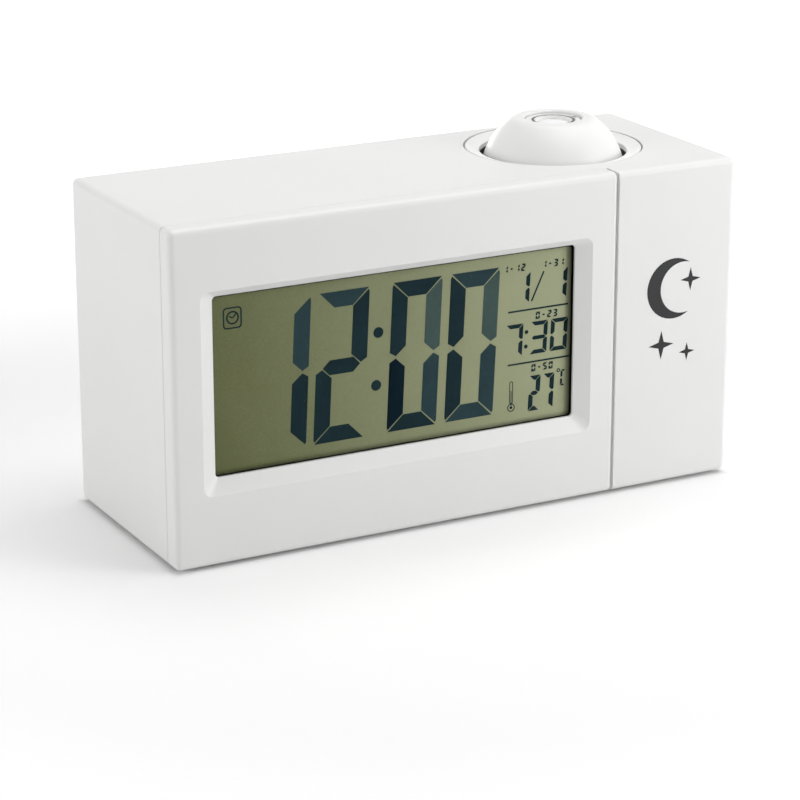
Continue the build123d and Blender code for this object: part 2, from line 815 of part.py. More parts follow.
with BuildPart() as key_domes:
    for x in button_xs:
        rod(x, button_row_z, dome_radius, key_board_back, key_board_back + dome_height)
    chamfer(edges_at(key_domes, Axis.Y, key_board_back + dome_height), dome_edge)
key_domes.part.label = "key_domes"
export_step(key_domes.part, "parts/key_domes.step")

for name, x in zip(button_names, button_xs):
    with BuildPart() as button:
        with BuildSketch(upright(button_back)):
            with Locations((x, button_row_z)):
                RectangleRounded(button_length, button_height, button_height / 2 - fit)
        extrude(amount=button_back - button_flange_back)
        chamfer(edges_at(button, Axis.Y, button_back), button_round)
        with BuildSketch(upright(button_flange_back)):
            with Locations((x, button_row_z)):
                RectangleRounded(button_length + 2 * button_flange,
                                 button_height + 2 * button_flange, button_height / 2)
        extrude(amount=button_flange)
        rod(x, button_row_z, stem_radius, stem_front, button_flange_front)
    button.part.label = f"{name}_button"
    export_step(button.part, f"parts/{name}_button.step")

with BuildPart() as switch_bodies:
    for x in switch_xs:
        block(x - switch_body_length / 2, x + switch_body_length / 2, key_board_back,
              switch_body_back, switch_row_z - switch_body_width / 2,
              switch_row_z + switch_body_width / 2)
        slot_reach = (lever_length + switch_travel) / 2 + gap
        block(x - slot_reach, x + slot_reach, switch_body_back - lever_depth, switch_body_back,
              switch_row_z - lever_width / 2 - gap, switch_row_z + lever_width / 2 + gap,
              Mode.SUBTRACT)
switch_bodies.part.label = "switch_bodies"
export_step(switch_bodies.part, "parts/switch_bodies.step")

for name, x in zip(switch_names, switch_xs):
    knob_x = x - switch_travel / 2
    with BuildPart() as knob:
        block(knob_x - knob_length / 2, knob_x + knob_length / 2, knob_front, button_back,
              switch_row_z - knob_height / 2, switch_row_z + knob_height / 2)
        # grip grooves across the thumb face
        for i in (-1, 0, 1):
            groove_x = knob_x + i * knob_groove_pitch
            block(groove_x - knob_groove_width / 2, groove_x + knob_groove_width / 2,
                  button_back - knob_groove_depth, button_back, switch_row_z - knob_height / 2,
                  switch_row_z + knob_height / 2, Mode.SUBTRACT)
        block(knob_x - knob_length / 2 - knob_base, knob_x + knob_length / 2 + knob_base,
              knob_front, button_flange_back, switch_row_z - knob_height / 2 - gap,
              switch_row_z + knob_height / 2 + gap)
        block(knob_x - lever_length / 2, knob_x + lever_length / 2,
              knob_front - lever_depth, knob_front, switch_row_z - lever_width / 2,
              switch_row_z + lever_width / 2)
    knob.part.label = f"{name}_switch"
    export_step(knob.part, f"parts/{name}_switch.step")

with BuildPart() as thermistor:
    with Locations((vent_x, sensor_y, sensor_z)):
        Sphere(sensor_radius)
    for side in (-1, 1):
        crossbar(sensor_lead, recess_right - gap, vent_x, sensor_y + side * sensor_radius / 2,
                 sensor_z)
thermistor.part.label = "thermistor"
export_step(thermistor.part, "parts/thermistor.step")

with BuildPart() as board_connectors:
    connector_reach = ribbon_width / 2 + connector_ear
    for y, z in ((board_back, ribbon_low_z), (key_board_front - connector_depth, ribbon_high_z)):
        block(ribbon_x - connector_reach, ribbon_x + connector_reach, y, y + connector_depth,
              z - connector_height / 2, z + connector_height / 2)
board_connectors.part.label = "board_connectors"
export_step(board_connectors.part, "parts/board_connectors.step")

with BuildPart() as ribbon_cable:
    ribbon_start = board_back + connector_depth + ribbon_thickness / 2
    ribbon_end = key_board_front - connector_depth - ribbon_thickness / 2
    ribbon_side = Plane((ribbon_x - ribbon_width / 2, 0, 0), x_dir=(0, 1, 0), z_dir=(1, 0, 0))
    with BuildSketch(ribbon_side):
        with BuildLine():
            FilletPolyline((ribbon_start, ribbon_low_z), (ribbon_start + ribbon_bend, ribbon_low_z),
                           (ribbon_end - ribbon_bend, ribbon_high_z), (ribbon_end, ribbon_high_z),
                           radius=ribbon_bend)
            offset(amount=ribbon_thickness / 2, side=Side.BOTH)
        make_face()
    extrude(amount=ribbon_width)
ribbon_cable.part.label = "ribbon_cable"
export_step(ribbon_cable.part, "parts/ribbon_cable.step")

# ---------------------------------------------------------------- speaker and power socket

with BuildPart() as speaker:
    rod(speaker_x, speaker_z, speaker_radius, cover_front - speaker_depth, cover_front - seam)
    # paper cone, open to the slots
    cone_y = cover_front - seam - speaker_depth / 4
    with Locations(Location((speaker_x, cone_y, speaker_z), (-90, 0, 0))):
        Cone(magnet_radius / 2, speaker_radius - speaker_wall, speaker_depth / 2,
             mode=Mode.SUBTRACT)
    rod(speaker_x, speaker_z, magnet_radius, cover_front - speaker_depth - magnet_depth,
        cover_front - speaker_depth)
speaker.part.label = "speaker"
export_step(speaker.part, "parts/speaker.step")

with BuildPart() as dc_socket:
    block(socket_x - socket_size / 2, socket_x + socket_size / 2, cover_front - fit - socket_length,
          cover_front - fit, socket_z - socket_size / 2, socket_z + socket_size / 2)
    rod(socket_x, socket_z, socket_barrel_radius, cover_front - fit, cover_back - seam)
    rod(socket_x, socket_z, socket_bore, cover_back - seam - socket_depth, cover_back, Mode.SUBTRACT)
    rod(socket_x, socket_z, socket_pin, cover_back - seam - socket_depth,
        cover_back - seam - socket_pin_sunk)
dc_socket.part.label = "dc_socket"
export_step(dc_socket.part, "parts/dc_socket.step")

# ---------------------------------------------------------------- screws

with BuildPart() as cover_screws:
    points = [(x, z) for x in cover_screw_xs for z in cover_screw_zs]
    screws_along_y(points, cover_back - screw_head_height, long_screw, -1, turns=(0, 90))
cover_screws.part.label = "cover_screws"
export_step(cover_screws.part, "parts/cover_screws.step")

with BuildPart() as bezel_screws:
    screws_along_y(bezel_screws_at, lug_back, short_screw, -1)
bezel_screws.part.label = "bezel_screws"
export_step(bezel_screws.part, "parts/bezel_screws.step")

with BuildPart() as board_screws:
    screws_along_y([(x, z) for x in board_boss_xs for z in board_boss_zs], board_back,
                   short_screw, -1)
board_screws.part.label = "board_screws"
export_step(board_screws.part, "parts/board_screws.step")

with BuildPart() as key_board_screws:
    screws_along_y([(x, z) for x in key_screw_xs for z in key_screw_zs], key_board_front,
                   short_screw, 1)
key_board_screws.part.label = "key_board_screws"
export_step(key_board_screws.part, "parts/key_board_screws.step")

# ---------------------------------------------------------------- turntable

pivot_z = ball_centre_z

with BuildPart() as turntable:
    # two yoke arms, rounded below the pivots and curved to the collar
    with BuildSketch(turret_side):
        with Locations((0, pivot_z)):
            Circle(arm_width / 2)
        with Locations((0, (pivot_z + collar_low) / 2)):
            Rectangle(arm_width, collar_low - pivot_z)
    extrude(amount=collar_radius, both=True)
    disc(collar_radius, pivot_z - arm_width, collar_low, Mode.INTERSECT)
    disc(bore_radius, pivot_z - arm_width, collar_low, Mode.SUBTRACT)
    # collar with the clip's groove, and the shallow dish on top
    with BuildSketch(turret_section):
        with BuildLine():
            Polyline(
                (bore_radius, collar_low),
                (collar_radius, collar_low),
                (collar_radius, clip_low - fit),
                (collar_radius - clip_depth, clip_low - fit),
                (collar_radius - clip_depth, clip_high + fit),
                (collar_radius, clip_high + fit),
                (collar_radius, dish_low_z),
                (dish_radius, dish_low_z),
                (dish_radius, top_z - dish_flat),
                (dish_radius - dish_flat, top_z),
                (bore_radius, top_z - dish_drop),
                (bore_radius, collar_low),
            )
        make_face()
    revolve(axis=turret_axis)
    fillet(edges_at(turntable, Axis.Z, top_z - dish_drop), dish_flat)
    crossbar(pivot_radius + fit, turret_x - collar_radius, turret_x + collar_radius, turret_y,
             pivot_z, Mode.SUBTRACT)
turntable.part.label = "turntable"
export_step(turntable.part, "parts/turntable.step")

with BuildPart() as friction_washer:
    disc(clip_radius, washer_low, washer_high)
    disc(collar_radius + fit, washer_low, washer_high, Mode.SUBTRACT)
friction_washer.part.label = "friction_washer"
export_step(friction_washer.part, "parts/friction_washer.step")

with BuildPart() as turntable_clip:
    disc(clip_radius, clip_low, clip_high)
    disc(collar_radius - clip_depth + fit, clip_low, clip_high, Mode.SUBTRACT)
    # the mouth that lets the clip spring open
    mouth = clip_radius * sin(radians(clip_mouth / 2))
    block(turret_x - mouth, turret_x + mouth, turret_y, turret_y + clip_radius, clip_low, clip_high,
          Mode.SUBTRACT)
turntable_clip.part.label = "turntable_clip"
export_step(turntable_clip.part, "parts/turntable_clip.step")

# ---------------------------------------------------------------- projector ball

with BuildPart() as ball_upper_shell:
    # clamping pads over the chassis ears and columns for the two screws
    for side in (-1, 1):
        inner_x = turret_x + side * pad_inner
        outer_x = turret_x + side * (ball_inner - pad_inset)
        block(min(inner_x, outer_x), max(inner_x, outer_x), turret_y - ear_width / 2,
              turret_y + ear_width / 2, ball_centre_z + ear_thickness / 2 + seam,
              ball_centre_z + pad_height)
        column_y = turret_y + side * ball_screw_offset
        disc(ball_boss_radius, ball_centre_z + seam, ball_centre_z + column_height, x=turret_x,
             y=column_y)
    with BuildSketch(turret_section):
        with BuildLine():
            CenterArc((0, ball_centre_z), ball_radius, 0,
                      degrees(acos(ball_flat_radius / ball_radius)))
            Polyline((ball_flat_radius, ball_top_z), (lens_hole_radius, ball_top_z),
                     (lens_hole_radius, sleeve_low_z), (sleeve_radius, sleeve_low_z),
                     (sleeve_radius, sleeve_inner_z))
            CenterArc((0, ball_centre_z), ball_inner, 0,
                      degrees(acos(sleeve_radius / ball_inner)))
            Line((ball_inner, ball_centre_z), (ball_radius, ball_centre_z))
        make_face()
    revolve(axis=turret_axis)
    # the flat top runs smoothly into the ball and into the lens hole
    for place, rounding in ((-1, ball_flat_round), (0, lens_hole_round)):
        rims = edges_at(ball_upper_shell, Axis.Z, ball_top_z).filter_by(GeomType.CIRCLE)
        fillet(rims.sort_by(SortBy.RADIUS)[place], rounding)
    for side in (-1, 1):
        column_y = turret_y + side * ball_screw_offset
        disc(screw_pilot, ball_centre_z, ball_centre_z + ball_pilot_depth, Mode.SUBTRACT,
             turret_x, column_y)
    # half-round notches over the pivot bosses
    crossbar(pivot_boss_radius + fit, turret_x - ball_radius, turret_x - boss_inner, turret_y,
             pivot_z, Mode.SUBTRACT)
    crossbar(pivot_boss_radius + fit, turret_x + boss_inner, turret_x + ball_radius, turret_y,
             pivot_z, Mode.SUBTRACT)
ball_upper_shell.part.label = "ball_upper_shell"
export_step(ball_upper_shell.part, "parts/ball_upper_shell.step")

with BuildPart() as ball_lower_shell:
    # screw columns and pads, trimmed to the ball
    for side in (-1, 1):
        column_y = turret_y + side * ball_screw_offset
        disc(ball_column_radius, ball_centre_z - ball_radius, ball_centre_z, x=turret_x, y=column_y)
        inner_x = turret_x + side * pad_inner
        outer_x = turret_x + side * (ball_inner - pad_inset)
        block(min(inner_x, outer_x), max(inner_x, outer_x), turret_y - ear_width / 2,
              turret_y + ear_width / 2, ball_centre_z - pad_height,
              ball_centre_z - ear_thickness / 2 - seam)
    with Locations((turret_x, turret_y, ball_centre_z)):
        Sphere(ball_radius, mode=Mode.INTERSECT)
    with BuildSketch(turret_section):
        with BuildLine():
            CenterArc((0, ball_centre_z), ball_radius, -90, 90)
            Line((ball_radius, ball_centre_z), (ball_inner, ball_centre_z))
            CenterArc((0, ball_centre_z), ball_inner, -90, 90)
            Line((0, ball_centre_z - ball_inner), (0, ball_centre_z - ball_radius))
        make_face()
        # lip that centres the upper shell
        with BuildLine():
            Polyline((ball_inner - lip_thickness, lip_low), (ball_inner - fit, lip_low),
                     (ball_inner - fit, ball_centre_z + lip_height),
                     (ball_inner - lip_thickness, ball_centre_z + lip_height), close=True)
        make_face()
    revolve(axis=turret_axis)
    block(turret_x - ball_inner, turret_x + ball_inner, turret_y - pivot_boss_radius - gap,
          turret_y + pivot_boss_radius + gap, ball_centre_z, ball_centre_z + lip_height,
          Mode.SUBTRACT)
    for side in (-1, 1):
        column_y = turret_y + side * ball_screw_offset
        disc(screw_head_radius + seam, ball_centre_z - ball_radius, ball_head_z, Mode.SUBTRACT,
             turret_x, column_y)
        disc(screw_hole, ball_head_z, ball_centre_z, Mode.SUBTRACT, turret_x, column_y)
        # the lip makes room for the upper shell's column
        disc(ball_boss_radius + gap, ball_centre_z, ball_centre_z + lip_height, Mode.SUBTRACT,
             turret_x, column_y)
        # pivot boss and hollow pivot, with room for the lead
        boss_outer = sqrt(ball_radius ** 2 - pivot_boss_radius ** 2) - fit
        for radius, x0, x1 in ((pivot_boss_radius, boss_inner + seam, boss_outer),
                               (pivot_radius, boss_inner + seam, collar_radius)):
            ends = sorted((turret_x + side * x0, turret_x + side * x1))
            crossbar(radius, ends[0], ends[1], turret_y, pivot_z)
        ends = sorted((turret_x + side * (boss_inner - ball_wall), turret_x + side * collar_radius))
        crossbar(lead_hole_radius, ends[0], ends[1], turret_y, pivot_z, Mode.SUBTRACT)
ball_lower_shell.part.label = "ball_lower_shell"
export_step(ball_lower_shell.part, "parts/ball_lower_shell.step")

with BuildPart() as ball_screws:
    for side in (-1, 1):
        column_y = turret_y + side * ball_screw_offset
        disc(screw_radius, ball_head_z, ball_centre_z + ball_pilot_depth - gap, x=turret_x,
             y=column_y)
        disc(screw_head_radius, ball_head_z - screw_head_height, ball_head_z, x=turret_x,
             y=column_y)
ball_screws.part.label = "ball_screws"
export_step(ball_screws.part, "parts/ball_screws.step")

# ---------------------------------------------------------------- optics, from the top down

with BuildPart() as focus_ring:
    disc(ring_outer, flange_low, ring_top)
    fillet(edges_at(focus_ring, Axis.Z, ring_top), seam_round)
    disc(ring_flange_radius, flange_low, flange_high)
    disc(ring_inner, flange_low, ring_top, Mode.SUBTRACT)
    # two finger notches in the rim
    block(turret_x - ring_outer, turret_x + ring_outer, turret_y - ring_notch / 2,
          turret_y + ring_notch / 2, ring_top - ring_notch / 2, ring_top, Mode.SUBTRACT)
focus_ring.part.label = "focus_ring"
export_step(focus_ring.part, "parts/focus_ring.step")

lens_low = barrel_top - lens_thickness - lens_set_back

with BuildPart() as lens_barrel:
    disc(barrel_radius, barrel_low, barrel_top)
    disc(barrel_bore, barrel_low, barrel_top, Mode.SUBTRACT)
    disc(barrel_radius - barrel_wall, lens_low, barrel_top, Mode.SUBTRACT)
lens_barrel.part.label = "lens_barrel"
export_step(lens_barrel.part, "parts/lens_barrel.step")

with BuildPart() as projection_lens:
    lens_radius = barrel_radius - barrel_wall - fit
    with BuildSketch(turret_section):
        with BuildLine():
            Polyline((0, lens_low), (lens_radius, lens_low),
                     (lens_radius, lens_low + lens_thickness - lens_bulge))
            ThreePointArc(*dome_points(lens_radius, lens_low + lens_thickness - lens_bulge,
                                       lens_low + lens_thickness))
            Line((0, lens_low + lens_thickness), (0, lens_low))
        make_face()
    revolve(axis=turret_axis)
projection_lens.part.label = "projection_lens"
export_step(projection_lens.part, "parts/projection_lens.step")

with BuildPart() as projector_chassis:
    disc(chassis_radius, chassis_low_z, chassis_high)
    # ears with round ends that are clamped between the two shells
    ear_reach = ball_inner - lip_thickness - gap
    with BuildSketch(Plane((turret_x, turret_y, ball_centre_z))):
        Rectangle(2 * ear_reach, ear_width)
        Circle(ear_reach, mode=Mode.INTERSECT)
    extrude(amount=ear_thickness / 2, both=True)
    disc(barrel_radius + fit, cell_high, chassis_high, Mode.SUBTRACT)
    disc(chassis_radius - chassis_wall, chassis_low_z, cell_high + fit, Mode.SUBTRACT)
projector_chassis.part.label = "projector_chassis"
export_step(projector_chassis.part, "parts/projector_chassis.step")

with BuildPart() as projection_lcd:
    block(turret_x - cell_size / 2, turret_x + cell_size / 2, turret_y - cell_size / 2,
          turret_y + cell_size / 2, cell_low, cell_high)
projection_lcd.part.label = "projection_lcd"
export_step(projection_lcd.part, "parts/projection_lcd.step")

with BuildPart() as condenser_lens:
    condenser_radius = chassis_radius - chassis_wall - fit
    condenser_low = cell_low - condenser_gap - condenser_thickness
    with BuildSketch(turret_section):
        with BuildLine():
            Polyline((0, condenser_low), (condenser_radius, condenser_low),
                     (condenser_radius, condenser_low + condenser_thickness - condenser_bulge))
            ThreePointArc(*dome_points(condenser_radius,
                                       condenser_low + condenser_thickness - condenser_bulge,
                                       condenser_low + condenser_thickness))
            Line((0, condenser_low + condenser_thickness), (0, condenser_low))
        make_face()
    revolve(axis=turret_axis)
condenser_lens.part.label = "condenser_lens"
export_step(condenser_lens.part, "parts/condenser_lens.step")

with BuildPart() as led_board:
    disc(chassis_radius, chassis_low_z - led_board_thickness, chassis_low_z)
led_board.part.label = "led_board"
export_step(led_board.part, "parts/led_board.step")

with BuildPart() as projector_led:
    disc(led_radius, chassis_low_z, chassis_low_z + led_height)
    with Locations((turret_x, turret_y, chassis_low_z + led_height)):
        Sphere(led_radius)
projector_led.part.label = "projector_led"
export_step(projector_led.part, "parts/projector_led.step")
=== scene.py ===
"""Looks of the projection alarm clock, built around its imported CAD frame.

Sizes are millimetres in the row frame: X to the right, the front faces -Y and Z is up. They become
metres where a mesh, a lamp, the camera or a material is made. The marks of the display are laid out
in u and v, from the lower left corner of the view.
"""
import json
from math import cos, pi, radians, sin

import bmesh
import bpy
from mathutils import Matrix, Vector


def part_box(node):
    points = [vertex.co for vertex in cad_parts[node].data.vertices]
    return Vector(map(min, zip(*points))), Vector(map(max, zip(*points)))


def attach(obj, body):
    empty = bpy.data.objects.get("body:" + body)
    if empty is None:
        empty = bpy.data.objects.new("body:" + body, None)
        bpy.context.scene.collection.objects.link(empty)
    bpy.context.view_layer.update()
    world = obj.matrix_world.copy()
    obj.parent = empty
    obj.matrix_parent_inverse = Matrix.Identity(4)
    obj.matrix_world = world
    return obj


MM = 0.001


def srgb(red, green, blue):
    """A colour written as 0 to 255, as linear light."""
    def linear(value):
        value /= 255
        return value / 12.92 if value <= 0.04045 else ((value + 0.055) / 1.055) ** 2.4
    return linear(red), linear(green), linear(blue), 1.0


# ---------------------------------------------------------------- places on the clock

WIDTH, DEPTH = 150.0, 57.0
LEFT, FRONT = -WIDTH / 2, -DEPTH / 2
VIEW_LEFT, VIEW_LOW = LEFT + 11.0, 21.2
VIEW_WIDTH, VIEW_HEIGHT = 95.0, 43.0
VIEW_RIGHT, VIEW_TOP = VIEW_LEFT + VIEW_WIDTH, VIEW_LOW + VIEW_HEIGHT
PANEL_MIDDLE = LEFT + 133.4
SEAM_AT = FRONT + 5.1  # depth of the seam behind the bezel
# half width, blur and light level of the line of painted shade along the seam
SEAM_SHADE_HALF, SEAM_SHADE_BLUR, SEAM_SHADE_LIGHT = 0.18, 0.06, 0.25
TURRET = (42.2, 3.2)
# painted shade: the dish is painted black below this height, for the dark gap round the ball
THROAT_SHADE_HIGH, THROAT_SHADE_BLUR = 78.75, 0.15  # height under which the dish is black
# painted shade: the barrel's top is painted black outside this radius, for the dark gap round the
# lens
RIM_SHADE_RADIUS, RIM_SHADE_BLUR = 4.7, 0.04  # radius outside which the barrel is black
RIM_SHADE_LOW, RIM_SHADE_HIGH = 0.25, 0.15  # depths under the barrel's top between which the black starts
KEY_FLOOR = 26.6  # depth of the sunk field that the keys stand in
KEY_PLACES = {"sun": -54.0, "down": -41.5, "up": -29.0, "bell": -16.5, "dial": -4.0}
SWITCH_PLACES = {"bell": -41.5, "beam": -16.5}
KEY_SIGNS_HIGH, SWITCH_SIGNS_HIGH = 70.9, 59.2
POCKET_LEDGE = 25.9  # depth of the ledge that carries the marks of the poles
POCKET_ENDS = (-62.4, -2.6)
CELL_ROWS = ((20.8, 1), (36.3, -1))  # height, and 1 where the plus pole is at the right
CELL_BAND = 10.0  # from the middle of a cell to the pale end of its sleeve

# ---------------------------------------------------------------- camera and lamps

CAMERA_AT = (-322.0, -599.8, 246.4)
CAMERA_AZIMUTH, CAMERA_ELEVATION = 28.067, 18.218
CAMERA_LENS, CAMERA_SENSOR = 131.46, 36.0
CAMERA_NEAR, CAMERA_FAR = 0.05, 20.0  # metres

LAMPS = (  # name, place, point that it faces, size, watts
    ("overhead_lamp", (150.0, 80.0, 1100.0), (30.0, 0.0, 60.0), (1000.0, 800.0), 6.55),
    ("high_right_lamp", (500.0, 0.0, 1000.0), (30.0, 0.0, 60.0), (800.0, 800.0), 1.9),
    ("front_lamp", (700.0, -700.0, 380.0), (40.0, 0.0, 45.0), (500.0, 500.0), 3.65),
    ("near_lamp", (380.0, -330.0, 100.0), (60.0, 0.0, 40.0), (200.0, 200.0), 0.44),
    ("left_lamp", (-850.0, 0.0, 250.0), (-40.0, 0.0, 45.0), (500.0, 400.0), 2.78),
    ("back_lamp", (200.0, 900.0, 60.0), (0.0, 0.0, 40.0), (600.0, 90.0), 2.2),
)
WORLD_LEVEL = 0.14  # what the surroundings give as light; the camera sees them white
FLOOR_SIZE = 12.0  # metres
FLOOR_LIFT = 0.154  # the floor's own light near the clock, for the camera
FADE_START, FADE_END = 0.15, 0.72  # metres from the clock's middle, where it grows to white
# painted shade round the clock's foot: the floor's own light grows in between these distances
CONTACT_SHADE_FROM, CONTACT_SHADE_TO = -1.0, 2.0  # distances from the clock's outline, where it sets in

# ---------------------------------------------------------------- display marks

DARK, GREY, PALE, BLACK = range(4)
MARK_TONES = (  # linear light, in the order of the four tones
    ("mark_dark", (0.0056, 0.0144, 0.0179, 1.0)),
    ("mark_grey", (0.0137, 0.0277, 0.0320, 1.0)),
    ("mark_pale", (0.0312, 0.0492, 0.0460, 1.0)),
    ("mark_black", (0.0010, 0.0060, 0.0105, 1.0)),
)
BIG_DIGITS = (  # digit, u, and the tone of each segment that isn't dark
    ("1", 10.7, {"b": GREY}),
    ("2", 25.8, {"a": GREY}),
    ("0", 45.0, {"b": PALE, "c": GREY, "e": BLACK}),
    ("0", 60.45, {"a": GREY, "b": PALE, "c": GREY, "d": GREY}),
)
COLON, COLON_RADIUS = ((42.9, 28.1), (42.3, 15.3)), 1.3

# width, height and stroke of the digits
BIG_DIGIT = (13.2, 36.25, 3.8)
DATE_DIGIT = (3.2, 7.6, 1.0)
ALARM_DIGIT = (4.7, 8.05, 1.0)
WARMTH_DIGIT = (3.1, 8.85, 1.12)
UNIT_DIGIT = (1.35, 4.05, 0.5)
LABEL_DIGIT = (1.15, 1.8, 0.42)

BIG_BASE, DATE_BASE, ALARM_BASE, WARMTH_BASE = 3.25, 29.8, 16.75, 2.43
ALARM_PITCH, WARMTH_PITCH, LABEL_PITCH = 5.6, 3.85, 1.6
BIG_GAP, SMALL_GAP, LABEL_GAP = 0.17, 0.09, 0.03
DIGIT_LEAN = 0.048  # to the right, per height

# parts of a segment, as shares of its stroke
LEG_SHARE = 1.09  # upright segments are that much wider than the others
CLIP_SHARE = 0.17  # outer corner cut off
TIP_SHARE, TIP_OUTER, TIP_INNER = 0.42, 0.25, 0.6
BRIDGE_HALF, BRIDGE_WAIST = 0.47, 0.46
MITRE = 1.414  # how much longer a gap is along the edge of a mitred end
SEGMENTS = {
    "0": "abcdef", "1": "bc", "2": "abged", "3": "abgcd", "5": "afgcd", "7": "abc", "-": "g",
    "c": "afed",
}

# ---------------------------------------------------------------- prints

MARK_THICKNESS, BORDER_THICKNESS, INK_THICKNESS = 0.05, 0.04, 0.03
BORDER_EDGE = 0.3  # from the window's edge to the border
# the border's reach into the view at its left and top is painted shade under the bezel's lip
BORDER_SHADE_LEFT, BORDER_SHADE_DROP = 0.3, 0.72  # how far the border covers the view at its left and top
WELD = 1e-7  # metres

# ---------------------------------------------------------------- colours and grains

WHITE = srgb(237, 237, 236)
TURRET_WHITE = srgb(248, 248, 247)
FULL_LIGHT = (1.0, 1.0, 1.0, 1.0)
NO_LIGHT = (0.0, 0.0, 0.0, 1.0)
WINDOW_IOR = 1.005  # so the window has next to no reflection; at 1.12 the digits were speckled
NOISE_LOW, NOISE_HIGH = 0.3, 0.7  # the values that noise mostly takes

# features per metre, and depths in millimetres
TOOL_GRAIN, TOOL_DEPTH = 2400.0, 0.004
MOTTLE_GRAIN, MOTTLE_SHARE = 45.0, 0.985
SINK_GRAIN, SINK_DEPTH = 28.0, 0.02
BRUSH_GRAIN, STAIN_GRAIN = 900.0, 400.0

MOULDED = {  # slot: colour, roughness, grain and its depth
    "white_plastic": (WHITE, 0.38, TOOL_GRAIN, TOOL_DEPTH),
    "rear_plastic": (srgb(233, 233, 231), 0.6, 2100.0, 0.02),
    "light_guide": (srgb(232, 234, 228), 0.3, 900.0, 0.01),
    "frame_plastic": (srgb(228, 228, 224), 0.5, 1800.0, 0.01),
    "black_epoxy": (srgb(22, 22, 24), 0.35, 700.0, 0.03),
    "black_plastic": (srgb(24, 24, 25), 0.42, 2000.0, 0.01),
    "key_plastic": (srgb(205, 207, 209), 0.3, TOOL_GRAIN, TOOL_DEPTH),
    "knob_plastic": (srgb(78, 80, 84), 0.45, 2000.0, 0.01),
}
PLATED = {  # slot: colour and roughness
    "bright_metal": (srgb(206, 206, 202), 0.25),
    "spring_steel": (srgb(186, 187, 186), 0.3),
    "screw_steel": (srgb(168, 169, 170), 0.34),
}


# ---------------------------------------------------------------- materials

